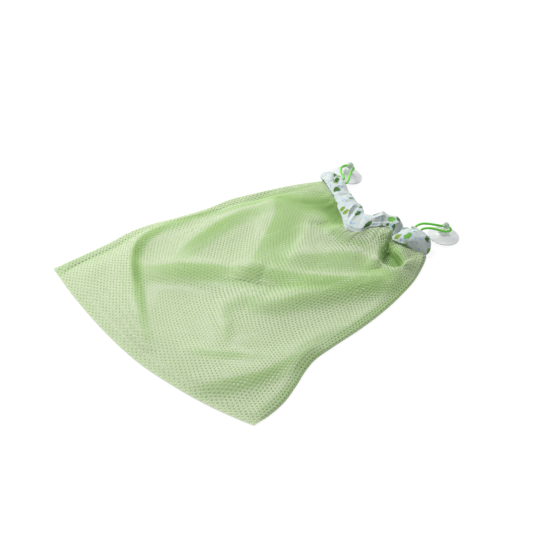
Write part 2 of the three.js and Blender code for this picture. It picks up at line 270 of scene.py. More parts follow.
# %% Rim and hem of the cuff: place along it as a share, rim and hem in mm from its middle line
cuff_edges = [
    (0.0, 16.5, -3), (0.05, 18, -3.5), (0.12, 16.5, -4.5), (0.24, 16, -5.5), (0.33, 17.5, -7.5),
    (0.42, 17.5, -11), (0.455, 15.7, -13.5), (0.496, 12.5, -19), (0.524, 9.3, -27.5), (0.553, 7.8, -27.5),
    (0.576, 7, -26), (0.586, 6.8, -19), (0.602, 9, -13.5), (0.651, 18.5, -9.3), (0.69, 14.5, -6.5),
    (0.718, 17, -5.8), (0.757, 11.8, -7.2), (0.79, 6.5, -16), (0.82, 10.5, -18.3), (0.854, 13.5, -18.6),
    (0.913, 15.5, -14.7), (0.94, 15.5, -12), (0.97, 11.5, -8.5), (1.0, 7, 0.5),
]
edge_samples, edge_reach, edge_softness = 600, 30, 3.6  # the last two in samples
hem_overlap = 3 * mm
mouth_pull_run, mouth_pull_power = 60 * mm, 1.5


def neighbour_weights(reach, softness):
    """Weights that mix a value with its neighbours, up to so many steps away."""
    weights = bell(np.arange(-reach, reach + 1) / softness)
    return weights / weights.sum()


def softened(column):
    """One column of the table as a function of the share, with its corners rounded."""
    table = np.array(cuff_edges)
    share = np.linspace(0, 1, edge_samples + 1)
    values = np.interp(share, table[:, 0], table[:, column])
    padded = np.pad(values, edge_reach, mode="reflect", reflect_type="odd")
    values = np.convolve(padded, neighbour_weights(edge_reach, edge_softness), mode="valid")
    return lambda s: np.interp(s, share, values) * mm


rim_reach, hem_reach = softened(1), softened(2)


def cloth_place(across, along):
    """A place on the floor under the net, which near the mouth follows the cuff's hem."""
    far = hem_reach(across) + hem_overlap + cuff_half_width(across) + clearance
    fade = smooth(1 - (1 - along) * bag_length / mouth_pull_run) ** mouth_pull_power
    return net_place(across, along) + left_of(cuff_line, across) * (far * fade)[..., None]


print("hem leans furthest over the net:", round(float(hem_reach(0.55)) / mm, 1), "mm")

# %% [markdown]
# ## Heights
# The lower layer lies on the table. The upper one rises from the sides and the bottom fold, stands a
# little over the lower layer, and climbs to the upper cuff. The cuffs are flat tunnels of cloth, one
# on top of the other, and the mouth gapes between them.

# %% Heights of the cuffs
front_half_puff = half_along_cuff(end=5 * mm, middle=9 * mm)
back_half_puff = half_along_cuff(end=3.4 * mm, middle=5 * mm)
mouth_height = 8 * mm


def front_height(share):
    """The height of the upper cuff's middle: over the lower cuff and the gape of the mouth."""
    gape = mix(clearance, mouth_height, np.sin(math.pi * share))
    return 2 * back_half_puff(share) + gape + front_half_puff(share)


print("upper cuff's middle stands", round(float(front_height(0.5)) / mm, 1), "mm over the table")

# %% [markdown]
# ## The cords
# Each suction cup hangs on a loop of elastic cord, nearly 3 mm thick. The photograph shows both
# loops whole, so their real length is the length of the route. The route is the CAD part's: out of
# the stitches at the cuff's rim, round the cup's neck and back. A braided cord is a tube, so a ring
# of points is carried along the route and turned as little as possible, and the braid's ridges are
# pressed into the tube, because they show at the edges of the cord.

# %% Routes of the cords, in metres
cord_routes = {
    "left": [
        (-0.0591, 0.3409, 0.0117), (-0.0583, 0.3428, 0.0119), (-0.0616, 0.3456, 0.0128),
        (-0.0686, 0.3486, 0.0142), (-0.073, 0.3534, 0.015), (-0.0736, 0.3584, 0.0153),
        (-0.0721, 0.362, 0.015), (-0.0709, 0.364, 0.0145), (-0.0692, 0.3656, 0.014),
        (-0.067, 0.3661, 0.0136), (-0.0646, 0.3654, 0.0133), (-0.0629, 0.3636, 0.0133),
        (-0.0618, 0.3606, 0.0135), (-0.0598, 0.3558, 0.0136), (-0.0564, 0.3504, 0.0134),
        (-0.0526, 0.345, 0.0126), (-0.0506, 0.3394, 0.0119), (-0.0514, 0.3375, 0.0117),
    ],
    "right": [
        (0.0628, 0.3326, 0.0134), (0.0629, 0.3349, 0.0141), (0.0658, 0.3396, 0.0162),
        (0.071, 0.3446, 0.0166), (0.077, 0.3504, 0.0154), (0.0808, 0.3554, 0.0136),
        (0.0826, 0.3588, 0.0131), (0.0844, 0.3608, 0.0128), (0.0869, 0.3616, 0.0125),
        (0.0897, 0.361, 0.0124), (0.092, 0.3593, 0.0124), (0.093, 0.3565, 0.0125),
        (0.0918, 0.353, 0.0128), (0.088, 0.3498, 0.0134), (0.0834, 0.3462, 0.0146),
        (0.0782, 0.3418, 0.0158), (0.0732, 0.3378, 0.015), (0.0713, 0.335, 0.014),
        (0.0712, 0.3327, 0.0134),
    ],
}
print("points of the routes:", {side_name: len(route) for side_name, route in cord_routes.items()})

# %% Skins over rings of points, and tubes
upright_limit = 0.1  # below this, a path starts too steeply for its side to be found from straight up


def mesh_piece(name, points, faces, uvs):
    """A new object from points in metres, faces, and each point's place on the cloth in millimetres."""
    data = bpy.data.meshes.new(name)
    data.from_pydata(points.tolist(), [], faces)
    layer = data.uv_layers.new(name="cloth")
    corners = np.empty(len(data.loops), np.int32)
    data.loops.foreach_get("vertex_index", corners)
    layer.data.foreach_set("uv", uvs.astype(np.float32)[corners].ravel())
    data.update()
    data.polygons.foreach_set("use_smooth", [True] * len(data.polygons))
    return new_object(name, data)


def skin(name, rings, uvs, around=True, ends=True):
    """Faces between rings of points, which may join their last point to the first and be capped."""
    count, size = rings.shape[:2]
    index = np.arange(count * size).reshape(count, size)
    caps = [index[0, ::-1].tolist(), index[-1].tolist()] if ends else []
    if around:
        index = np.hstack([index, index[:, :1]])
    faces = np.stack([index[:-1, :-1], index[:-1, 1:], index[1:, 1:], index[1:, :-1]], -1)
    return mesh_piece(name, rings.reshape(-1, 3), faces.reshape(-1, 4).tolist() + caps, uvs.reshape(-1, 2))


def tube(name, path, radius, sides, relief=None, ends=True):
    """A tube round a path, with a relief of its own, given by the way along and the turn round."""
    ahead = np.gradient(path, axis=0)
    ahead /= np.linalg.norm(ahead, axis=1, keepdims=True)
    side = np.cross(ahead[0], [0, 0, 1])
    if np.linalg.norm(side) < upright_limit:
        side = np.cross(ahead[0], [1, 0, 0])
    turn = np.arange(sides) * 2 * math.pi / sides
    rings, uvs = [], []
    for place, way, along in zip(path, way_along(path), ahead):
        side = side - along * side.dot(along)
        side /= np.linalg.norm(side)
        up = np.cross(side, along)
        reach = radius + (relief(way, turn) if relief else 0 * turn)
        rings.append(place + np.outer(np.cos(turn) * reach, side) + np.outer(np.sin(turn) * reach, up))
        uvs.append(np.stack([turn * radius / mm, np.full(sides, way / mm)], -1))
    # each ring is taken backwards, so that the faces point outwards
    return skin(name, np.array(rings)[:, ::-1], np.array(uvs)[:, ::-1], ends=ends)


print("a path is steep within", round(math.degrees(math.asin(upright_limit)), 1), "degrees of upright")

# %% Cords
cord_diameter, cord_sides, cord_step = 2.8 * mm, 16, 0.3 * mm
braid_depth, braid_pitch, braid_strands = 0.12 * mm, 3.2 * mm, 4


def braid(way, turn):
    """Strands that cross each other, pressed into the surface of the cord."""
    twist = 2 * math.pi * way / braid_pitch
    one, other = (np.abs(np.sin(braid_strands / 2 * turn + lay * twist)) for lay in (1, -1))
    return braid_depth * (np.maximum(one, other) - 1)


cords = {}
for side_name, route in cord_routes.items():
    place, length = smooth_line(route)
    path = place(np.linspace(0, 1, int(length / cord_step)))
    path[:, :2] += shift
    cord = report(tube("cord_loop_" + side_name, path, cord_diameter / 2, cord_sides, braid))
    cords[side_name] = (cord, path, length)
    print("cord", side_name, "is", round(length / mm, 1), "mm long")

# %% [markdown]
# ## The floor and the light
# The studio is a white table with soft light. A large lamp stands high behind the bag on the left,
# as the shading of the folds shows, and white surroundings fill the shadows. The camera sees the
# table mostly as plain white, through the Light Path node, but part of it is lit as a real surface
# is, so the object keeps its soft contact shadow.

# %% Colours and nodes
table_white = "#F4F4F2"


def linear(hex_colour):
    """Blender mixes light in linear colour, and an sRGB hex value is turned to it here."""
    parts = [int(hex_colour[i:i + 2], 16) / 255 for i in (1, 3, 5)]
    return tuple(c / 12.92 if c <= 0.04045 else ((c + 0.055) / 1.055) ** 2.4 for c in parts) + (1.0,)


def set_inputs(node, inputs):
    """Sets inputs of a node to values, or links them to outputs of other nodes."""
    for name, value in inputs.items():
        if isinstance(value, bpy.types.NodeSocket):
            node.id_data.links.new(value, node.inputs[name])
        else:
            node.inputs[name].default_value = value


def add_node(tree, kind, inputs=None, output=0, **settings):
    """Adds one shader node with its settings, sets or links its inputs, and gives one of its outputs."""
    node = tree.nodes.new("ShaderNode" + kind)
    for name, value in settings.items():
        setattr(node, name, value)
    set_inputs(node, inputs or {})
    return node.outputs[output]


def new_material(name, constants):
    """A material with one Principled shader; gives it, its nodes and the shader."""
    material = bpy.data.materials.new(name)
    material.use_nodes = True
    shader = material.node_tree.nodes["Principled BSDF"]
    set_inputs(shader, constants)
    return material, material.node_tree, shader


print("the table's white in linear colour:", np.round(linear(table_white), 3))

# %% Floor
floor_size = 6.0
seen_as_white, glow_strength = 0.86, 1.04

select()
bpy.ops.mesh.primitive_plane_add(size=floor_size, location=(0, 0, 0))
floor = bpy.context.object
floor.name = "floor"
white, tree, shader = new_material("white_table", {"Roughness": 0.9, "Base Color": linear(table_white)})
rays = add_node(tree, "LightPath").node.outputs
seen = add_node(tree, "Math", {0: rays["Is Camera Ray"], 1: rays["Is Glossy Ray"]}, operation="MAXIMUM")
seen = add_node(tree, "Math", {0: seen, 1: rays["Is Transmission Ray"]}, operation="MAXIMUM")
seen = add_node(tree, "Math", {0: seen, 1: seen_as_white}, operation="MULTIPLY")
glow = add_node(tree, "Emission", {"Color": (1, 1, 1, 1), "Strength": glow_strength})
lit_or_white = add_node(tree, "MixShader", {0: seen, 1: shader.outputs[0], 2: glow})
set_inputs(tree.nodes["Material Output"], {"Surface": lit_or_white})
floor.data.materials.append(white)
print("floor of", floor_size, "m")

# %% Surroundings and lamp
fill_strength = 0.42
lamp_size, lamp_power, lamp_distance = 0.8, 57.0, 2.2
lamp_from = Vector((-1.0, 0.16, 1.12)).normalized()

world = bpy.data.worlds.new("white_studio")
world.use_nodes = True
bpy.context.scene.world = world
tree = world.node_tree
seen = add_node(tree, "LightPath", output="Is Camera Ray")
strength = add_node(tree, "MapRange", {"Value": seen, "To Min": fill_strength, "To Max": 1.0})
set_inputs(tree.nodes["Background"], {"Color": (1, 1, 1, 1), "Strength": strength})

lamp_data = bpy.data.lights.new("soft_lamp", "AREA")
lamp_data.size, lamp_data.energy = lamp_size, lamp_power
lamp = new_object("soft_lamp", lamp_data)
lamp.location = lamp_from * lamp_distance
lamp.rotation_euler = (-lamp_from).to_track_quat("-Z", "Y").to_euler()
bpy.context.scene.view_settings.view_transform = "Standard"
print("lamp of", lamp_power, "W at", [round(x, 2) for x in lamp.location])

# %% [markdown]
# ## Knitted net
# The bag is a warp-knitted net: columns of yarn loops part and meet again, and leave holes of 1 to
# 1.5 mm. The photograph's texture repeats every 4.7 mm along the bag, and its columns lie 3.6 mm
# apart, each half a step on from the last, like a honeycomb. The holes could be painted, but then
# the bag would look flat: light falls through real holes onto the layer below. So the cloth is made
# of hexagonal cells, each of two rings of faces round an open hole. The outer ring is the top of the
# strand and the inner one turns down into the hole, so the strands look round. The cells are laid
# out flat first and then moved onto the cloth's shape.

# %% Honeycomb of the knit
ring_drops = (0.25, 1.0)  # how far each ring lies below the top of the strand
tip_share = 1 / 6  # how far a knot stands to one side of its column's border, in columns


def honeycomb(columns, rows, hole):
    """Flat places from 0 to 1, faces, and how far each point lies below the top of the strand.

    The hole is the open share of a cell's width, worked out from the places of the cells.
    """
    half_steps = 2 * rows + 1
    k, m = np.mgrid[0:columns + 1, 0:half_steps + 1]
    tip = np.where((m - k) % 2 == 0, tip_share, -tip_share)
    tip[(k == 0) | (k == columns)] = 0
    knots = np.stack([(k + tip) / columns, m / half_steps], -1).reshape(-1, 2)
    wide = half_steps + 1
    cells, borders = [], []
    for j in range(columns):
        start = np.arange(j % 2, half_steps - 1, 2)
        near, far = j * wide + start, (j + 1) * wide + start
        cells.append(np.stack([near, far, far + 1, far + 2, near + 2, near + 1], -1))
        gap = 0 if j % 2 else half_steps - 1
        a, b = j * wide + gap, (j + 1) * wide + gap
        borders.append((a, b, b + 1, a + 1))
    outer = np.vstack(cells)
    middles = knots[outer].mean(1, keepdims=True)
    points, drop, faces = [knots], [np.zeros(len(knots))], []
    ring, count = outer, len(knots)
    hole = hole(middles[:, 0])[:, None, None]
    for reach, below in zip((mix(1, hole, 0.5), hole), ring_drops):
        flat = (middles + (knots[outer] - middles) * reach).reshape(-1, 2)
        inner = count + np.arange(len(flat)).reshape(-1, 6)
        faces.append(np.stack([ring, np.roll(ring, -1, 1), np.roll(inner, -1, 1), inner], -1).reshape(-1, 4))
        points.append(flat)
        drop.append(np.full(len(flat), below))
        ring, count = inner, count + len(flat)
    return np.vstack(points), np.vstack(faces).tolist() + borders, np.concatenate(drop)


print("faces of a knit of 4 by 4 cells:", len(honeycomb(4, 4, lambda middles: np.full(len(middles), 0.5))[1]))

# %% [markdown]
# ## Folds of the upper layer
# An empty bag that is put down keeps the folds that it was carried with. The main ones in the photo
# are drawn here, each as the line of its crest, in shares across and along the cloth. Most are gentle
# on one side and steep on the other, and the crests are drawn so that the steep side lies on their
# left; that is mostly the side that faces away from the lamp. On the steep side the cloth is also
# bunched: its columns are pushed together, the holes close, and less light comes through. There its
# colour is painted a deeper green, as painted shade on the fold's shaded side, and a hollow is painted
# with shade all over, so the folds show clearly, even where they are low.

# %% Fold table: crest, rise, reach to the right and to the left (mm), and how far the cloth is bunched and painted with shade
folds = [
    # the long fold that starts at the left side and turns to the bottom
    ([(0.02, 0.63), (0.043, 0.508), (0.065, 0.4), (0.1, 0.305), (0.177, 0.225), (0.288, 0.168),
      (0.417, 0.103), (0.545, 0.035)], 6.5, 11, 10, 0.9),
    ([(0.09, 0.23), (0.135, 0.193), (0.258, 0.13), (0.378, 0.07)], 1.5, 8, 7, 0.25),
    # the fold across the middle, and the hollow under it
    ([(0.53, 0.56), (0.41, 0.465), (0.333, 0.362), (0.247, 0.265), (0.19, 0.21)], 8, 14, 22, 0.75),
    ([(0.97, 0.87), (0.88, 0.805), (0.797, 0.72), (0.645, 0.638), (0.482, 0.555), (0.44, 0.5)],
     6, 10, 18, 0.7),
    ([(0.97, 0.87), (0.917, 0.815), (0.833, 0.685), (0.735, 0.545), (0.677, 0.445), (0.608, 0.44),
      (0.56, 0.35)], 7, 18, 15, 0.5),
    ([(0.5, 0.47), (0.56, 0.5), (0.69, 0.59), (0.815, 0.7), (0.9, 0.81)], -1, 10, 10, 0.4),
    ([(0.97, 0.9), (0.875, 0.77), (0.758, 0.613), (0.657, 0.463), (0.58, 0.36)], -0.5, 22, 22, 0.35),
    ([(0.56, 0.38), (0.61, 0.325), (0.655, 0.28), (0.72, 0.2)], 3, 8, 9, 0.4),
    # the fold from the left end of the cuff to the middle, and the steep rise on its other side
    ([(0.06, 0.89), (0.125, 0.823), (0.253, 0.775), (0.352, 0.7), (0.413, 0.625), (0.475, 0.55),
      (0.53, 0.49)], 9, 13, 31, 0.75),
    ([(0.56, 0.62), (0.52, 0.72), (0.45, 0.83), (0.33, 0.9)], 4, 18, 9, 0),
    # the arc under the middle of the cuff
    ([(0.95, 0.845), (0.812, 0.838), (0.69, 0.84), (0.618, 0.81), (0.547, 0.733), (0.49, 0.62)],
     5, 12, 24, 0.65),
    # folds near the bottom
    ([(0.88, 0.28), (0.74, 0.188), (0.61, 0.118)], 2.5, 8, 9, 0.5),
    ([(0.975, 0.42), (0.96, 0.367), (0.922, 0.28), (0.875, 0.182), (0.815, 0.092), (0.735, 0.01)],
     6, 18, 14, 0.65),
    # the right side, where the upper layer drops to the edge
    ([(0.978, 0.4), (0.983, 0.31), (0.978, 0.182), (0.968, 0.07), (0.963, 0.0)], 2, 10, 9, 0.5),
    ([(0.935, 0.54), (0.925, 0.41), (0.9, 0.29)], 1.5, 8, 8, 0.4),
    ([(0.985, 0.9), (0.98, 0.775), (0.968, 0.62), (0.97, 0.475), (0.985, 0.34)], 1.5, 10, 7, 0.6),
    # the left side, below the seam
    ([(0.17, 0.82), (0.15, 0.68), (0.165, 0.56), (0.25, 0.393), (0.3, 0.33)], 4.5, 12, 16, 0.8),
    ([(0.09, 0.86), (0.085, 0.718), (0.06, 0.56)], 1.5, 6, 8, 0.75),
]
# folds and hollows beside the cuff, where the cloth doubles under the elastic; their painted shade is darkest
# in the hollows and the pocket under the cuff
mouth_folds = [
    ([(0.748, 1.02), (0.753, 0.963), (0.767, 0.91), (0.792, 0.858), (0.83, 0.82)], 7, 9, 3, 0.4),
    ([(0.765, 0.965), (0.79, 0.945), (0.823, 0.918), (0.86, 0.9), (0.91, 0.892)], -13, 10, 10, 1.0),
    ([(0.8, 0.95), (0.84, 0.93), (0.88, 0.912), (0.93, 0.9)], -4, 9, 9, 1.0),
    ([(0.94, 0.88), (0.905, 0.915), (0.865, 0.943), (0.82, 0.96), (0.77, 0.968)], 6, 8, 3, 0.6),
    ([(0.76, 0.85), (0.792, 0.852), (0.843, 0.857), (0.91, 0.88), (0.945, 0.915), (0.975, 0.96)],
     5, 12, 3, 0.3),
    ([(0.74, 0.78), (0.82, 0.8), (0.88, 0.82), (0.97, 0.85)], -2, 12, 12, 0.55),
    ([(0.0, 0.78), (0.1, 0.84), (0.17, 0.89), (0.23, 0.925), (0.3, 0.95), (0.4, 0.965), (0.52, 1.01)],
     -5, 24, 18, 0.85),
    ([(0.17, 0.9), (0.22, 0.94), (0.28, 0.965), (0.36, 0.98), (0.46, 0.985), (0.54, 1.02)], -3, 14, 16, 1.0),
    ([(0.3, 0.985), (0.26, 0.93), (0.22, 0.87)], 2, 5, 9, 0.2),
    ([(0.45, 0.98), (0.43, 0.92), (0.4, 0.86)], -3, 6, 8, 0.3),
    ([(0.77, 0.88), (0.66, 0.905), (0.56, 0.925), (0.42, 0.93)], 2.5, 8, 9, 0.5),
    ([(0.6, 0.985), (0.6, 0.94), (0.61, 0.9)], 1.6, 3, 4, 0.2),
    ([(0.66, 0.985), (0.665, 0.94), (0.68, 0.9)], 1.5, 3, 4, 0.2),
    ([(0.71, 0.985), (0.71, 0.95), (0.72, 0.91)], 1.2, 3, 3, 0.2),
    ([(0.52, 0.98), (0.5, 0.93), (0.48, 0.88)], 2.2, 5, 6, 0.2),
]
print(len(folds), "folds, and", len(mouth_folds), "folds and hollows at the mouth")

# %% Sums of the folds
crest_points, crest_width, crest_fade = 60, 4 * mm, 0.6
steep_reach = 1.3  # the bunched side reaches this much further than the fold's own slope
fold_softness = 2  # steps of the cloth's grid over which the folds are smoothed


def softened_grid(values):
    """Values over the cloth's square grid, with each mixed with its neighbours."""
    reach = 3 * fold_softness
    side = int(round(math.sqrt(len(values))))
    grid = values.reshape(side, side)
    for axis in (0, 1):
        wide = np.pad(grid, [(reach, reach) if k == axis else (0, 0) for k in (0, 1)], mode="edge")
        weights = neighbour_weights(reach, fold_softness)
        grid = sum(w * np.take(wide, np.arange(side) + k, axis) for k, w in enumerate(weights))
    return grid.ravel()


def fold_sums(table, spot):
    """The height that the folds add, in metres, and how bunched and painted with shade the cloth is, over the
    cloth's grid.

    A fold is bunched and painted with shade on its steep side, and a hollow, whose rise is negative, all
    over.
    """
    lift, loose = np.zeros(len(spot)), np.ones(len(spot))
    share = np.linspace(0, 1, crest_points)
    for points, rise, reach_right, reach_left, bunching_and_shade in table:
        crest, _ = smooth_line(cloth_place(*np.array(points).T))
        best = np.full(len(spot), np.inf)
        side, way = np.zeros(len(spot)), np.zeros(len(spot))
        for dot, normal, t in zip(crest(share), left_of(crest, share), share):
            away = spot - dot
            distance = (away**2).sum(1)
            near = distance < best
            best[near] = distance[near]
            side[near] = away[near] @ normal
            way[near] = t
        slope = bell(np.sqrt(best) / (np.where(side > 0, reach_left, reach_right) * mm))
        fade = np.sin(math.pi * way) ** crest_fade
        lift += rise * mm * fade * slope
        off = np.sign(side) * np.sqrt(best)
        steep = smooth(off / crest_width + 0.5) * bell(off / (steep_reach * reach_left * mm), 6)
        # the bunching also sets painted shade: on a fold's steep side, which mostly faces away from the lamp,
        # and all over a hollow
        loose *= 1 - bunching_and_shade * fade * (steep if rise > 0 else slope)
    return softened_grid(lift), softened_grid(1 - loose)


print("the folds stand up to", max(rise for _, rise, *_ in folds), "mm high")

# %% [markdown]
# The heights of the upper layer are added up from what lies under it and what pulls at it: the stack
# of seam allowance at the sides, the crown of the empty bag, the folds, the climb to the cuff and the
# small pleats that its elastic gathers.

# %% Waves, pleats and rolled edges
ripple_waves = (3, 9, 2, 7)  # the seed, how many waves, and their lowest and highest pace


def waves(u, v, seed, count, low, high):
    """Smooth, uneven ripples: a few sine waves of random direction and phase, with a fixed seed."""
    random = np.random.default_rng(seed)
    total = np.zeros_like(u)
    for _ in range(count):
        bearing, pace, start = random.uniform(0, math.pi), random.uniform(low, high), random.uniform(0, 7)
        total += np.sin((u * math.cos(bearing) + v * math.sin(bearing)) * 2 * math.pi * pace + start)
    return total / math.sqrt(count)


def pleats(share, count, sway, swell, slant=0):
    """Pleats that crowd and part by a sway, and grow and shrink by a swell: each a size, pace and start."""
    crowd, grow = (size * np.sin(pace * share + start) for size, pace, start in (sway, swell))
    return np.sin(2 * math.pi * (count * share + crowd + slant)) * (1 - swell[0] + grow)


def edge_distances(u, v):
    """How far a place on the net lies from its left and right sides, the bottom fold and the mouth."""
    width = mix(bag_width, cuff_length, v)
    return u * width, (1 - u) * width, v * bag_length, (1 - v) * bag_length


rolled_edge = 5 * mm


def rolled(*distances):
    """How far the cloth has risen from its edge, which is rolled to a quarter of a circle."""
    way = np.clip(np.minimum.reduce(distances) / rolled_edge, 0, 1)
    return np.sqrt(1 - (1 - way) ** 2)


print("ripples at four places:", waves(np.arange(4) / 4, np.zeros(4), *ripple_waves).round(2))

# %% Heights of the upper layer
net_thickness, seam_thickness = 0.8 * mm, 1.4 * mm
seam_start, seam_width, seam_inset = 16 * mm, 8 * mm, 2 * mm
side_stack = net_thickness + clearance + seam_thickness + clearance
seam_middle = seam_inset + seam_width / 2
seam_ridge, ridge_reach = 1.2 * mm, 6 * mm
groove_depth, groove_inset, groove_reach = 0.9 * mm, seam_inset + seam_width + 3.5 * mm, 3.2 * mm
crown_height, crown_run, ripple_depth = 7.5 * mm, 40 * mm, 0.5 * mm
right_run = 80 * mm  # the upper layer comes down more gently towards the right side
mouth_run = 60 * mm
edge_middle = 1.3 * mm
fold_clear_of_bottom, fold_clear_of_side = 20 * mm, 12 * mm
mouth_fold_clear_of_hem, mouth_fold_clear_of_side = 7 * mm, 8 * mm
gather_depth, gather_run, gather_count = 0.8 * mm, 26 * mm, 21
gather_sway, gather_swell, gather_slant = (0.9, 9, 1), (0.45, 23, 2), 0.6
gather_clear_of_hem, gather_clear_of_side = 4 * mm, 10 * mm


def upper_height(u, v, lift, mouth_lift):
    """The height of the upper layer's middle over the table."""
    from_left, from_right, from_fold, to_mouth = edge_distances(u, v)
    from_side = np.minimum(from_left, from_right)
    over_seam = bell((from_left - seam_middle) / ridge_reach, 4)
    beside_seam = bell((from_left - groove_inset) / groove_reach)
    seam_begins = smooth(from_fold / seam_start)
    flat = mix(net_thickness + clearance, side_stack, seam_begins) + net_thickness / 2
    flat = flat + (seam_ridge * over_seam - groove_depth * beside_seam) * seam_begins
    inside = smooth(from_fold / crown_run) * smooth(from_left / crown_run) * smooth(from_right / right_run)
    body = flat + inside * (crown_height + ripple_depth * waves(u, v, *ripple_waves))
    body = body + lift * smooth(from_fold / fold_clear_of_bottom) * smooth(from_side / fold_clear_of_side)
    height = mix(body, front_height(u), smooth(1 - to_mouth / mouth_run))
    near_mouth = smooth(to_mouth / mouth_fold_clear_of_hem) * smooth(from_side / mouth_fold_clear_of_side)
    height = height + mouth_lift * near_mouth
    gathers = smooth(1 - to_mouth / gather_run) * smooth(to_mouth / gather_clear_of_hem)
    gathers = gathers * pleats(u, gather_count, gather_sway, gather_swell, gather_slant * v)
    height = height + gather_depth * gathers * smooth(from_side / gather_clear_of_side)
    height = mix(np.minimum(edge_middle, height), height, rolled(from_side, from_fold))
    return np.maximum(height, net_thickness + clearance)


print("the upper layer lies", round(side_stack / mm, 1), "mm over the table at the side seams")

# %% [markdown]
# The cloth is also bunched beside the side seam, along the left edge where it lies double, and where
# the elastic gathers it. This bunching also paints shade: in the groove beside the seam, near the mouth
# under the cuff, and on the right border, whose rolled edge faces away from the lamp. The lower layer
# is a deeper green all over, and is painted with shade near the mouth, inside the bag. In the lower
# left corner, along the bottom fold, at the right border and in the pocket under the cuff the photograph
# shows no open holes, though the cloth there is as light as elsewhere. So the colour and the holes have
# values of their own.

# %% Shapes of both layers
# these also deepen the colour: painted shade in the groove beside the seam, under the cuff near the mouth,
# and on the right border's rolled edge; the seam's share also deepens the double edge
seam_bunching_and_shade, gather_bunching_and_shade, border_bunching_and_shade = 0.5, 0.35, 0.15
double_edge_reach, double_edge_end_share = 0.4 * seam_width, 0.4
right_border, right_border_start_share, border_closing = 12 * mm, 0.2, 1.3
corner_shares, bottom_share, closing_slope = (0.65, 0.55), 0.25, 1.5
bottom_end_share, bottom_run_share, bottom_closing = 0.85, 0.3, 0.9
pocket_closing = 0.6
# the lower layer's colour is deeper all over, and deepest near the mouth, as painted shade inside the bag
lower_bunching_and_shade, lower_closing, lower_climb_run = 0.4, 1.3, 18 * mm


def upper_bunching_and_shade(u, v, bunch_and_shade, mouth_bunch_and_shade):
    """How far the upper layer is bunched and painted with shade, and how far its holes are closed."""
    from_left, from_right, _, to_mouth = edge_distances(u, v)
    beside_seam = bell((from_left - groove_inset) / groove_reach)
    double_edge = bell((from_left - seam_middle) / double_edge_reach, 4)
    double_edge = double_edge * (1 - smooth(v / double_edge_end_share))
    loose = (1 - bunch_and_shade) * (1 - mouth_bunch_and_shade)
    loose = loose * (1 - seam_bunching_and_shade * beside_seam) * (1 - seam_bunching_and_shade * double_edge)
    loose = loose * (1 - gather_bunching_and_shade * smooth(1 - to_mouth / (2 * gather_run)))
    border = bell(from_right / right_border, 4) * smooth(v / right_border_start_share)
    corner = [smooth(closing_slope * (1 - share / end)) for share, end in zip((u, v), corner_shares)]
    bottom = smooth(closing_slope * (1 - v / bottom_share))
    bottom = bottom * smooth((bottom_end_share - u) / bottom_run_share)
    open_part = 1 - np.maximum(corner[0] * corner[1], bottom_closing * bottom)
    closed = 1 - loose * (1 - border_closing * border) * open_part + pocket_closing * mouth_bunch_and_shade**3
    return 1 - loose * (1 - border_bunching_and_shade * border), closed


def upper_layer(u, v):
    """Places of the upper layer's cloth, how far it is bunched and painted with shade, and how far its holes
    are closed.
    """
    spot = cloth_place(u, v)
    lift, bunch_and_shade = fold_sums(folds, spot)
    mouth_lift, mouth_bunch_and_shade = fold_sums(mouth_folds, spot)
    height = upper_height(u, v, lift, mouth_lift)
    return np.column_stack([spot + shift, height, *upper_bunching_and_shade(u, v, bunch_and_shade, mouth_bunch_and_shade)])


def lower_layer(u, v):
    """The same for the lower layer, which lies on the table and rises a little to its cuff."""
    from_left, from_right, from_fold, to_mouth = edge_distances(u, v)
    height = net_thickness / 2 + back_half_puff(u) * smooth(1 - to_mouth / lower_climb_run)
    height = mix(edge_middle, height, rolled(from_left, from_right, from_fold))
    # painted shade: the colour deepens towards the mouth, inside the bag
    bunch_and_shade = mix(lower_bunching_and_shade, 1, smooth(1 - to_mouth / mouth_run))
    return np.column_stack([cloth_place(u, v) + shift, height, bunch_and_shade, np.full(len(u), lower_closing)])


middle_and_mouth = lower_layer(np.array([0.5, 0.5]), np.array([0.5, 1.0]))
print("lower layer, middle and mouth in mm over the table:", (middle_and_mouth[:, 2] / mm).round(1))

# %% [markdown]
# A cloth's shape is worked out once, on a fine grid of flat places. The net's points are then found
# between the grid's points, with the direction square to the cloth, which tells a strand's relief
# which way is up. This keeps the slow part, the folds, apart from the fine part, the knit.

# %% The two layers of the net
grid_steps = 400
net_columns, net_rows = 94, 73
open_hole_share, closed_hole_share = 0.43, 0.32
strand_relief = 0.38 * mm
flat_size = (336 * mm, 345 * mm)


def cloth_shape(layer, steps):
    """A function from flat places to the layer's values there and the direction square to the cloth."""
    share = np.linspace(0, 1, steps + 1)
    u, v = np.meshgrid(share, share, indexing="ij")
    table = layer(u.ravel(), v.ravel()).reshape(steps + 1, steps + 1, -1)
    square = np.cross(*np.gradient(table[..., :3], axis=(0, 1)))
    table = np.concatenate([table, square / np.linalg.norm(square, axis=-1, keepdims=True)], -1)

    def at(flat):
        spot = np.clip(flat, 0, 1) * steps
        cell = np.minimum(spot.astype(int), steps - 1)
        i, j = cell.T
        a, b = np.hsplit(spot - cell, 2)
        return mix(mix(table[i, j], table[i + 1, j], a), mix(table[i, j + 1], table[i + 1, j + 1], a), b)

    return at


def net_cloth(name, layer, columns, rows, size, top=1, relief=strand_relief, steps=grid_steps):
    """Knitted cloth over a layer's shape; its outer side is the upper one where top is 1."""
    at = cloth_shape(layer, steps)
    flat, faces, drop = honeycomb(
        columns, rows, lambda middles: mix(open_hole_share, closed_hole_share, at(middles)[:, 4]))
    values = at(flat)
    places = values[:, :3] + values[:, 5:] * ((0.5 - drop) * relief * top)[:, None]
    piece = mesh_piece(name, places, [face[::top] for face in faces], flat * np.array(size) / mm)
    for label, marks in (("drop", drop), ("bunch_and_shade", values[:, 3])):
        mark = piece.data.attributes.new(label, "FLOAT", "POINT")
        mark.data.foreach_set("value", marks.astype(np.float32))
    return report(piece)


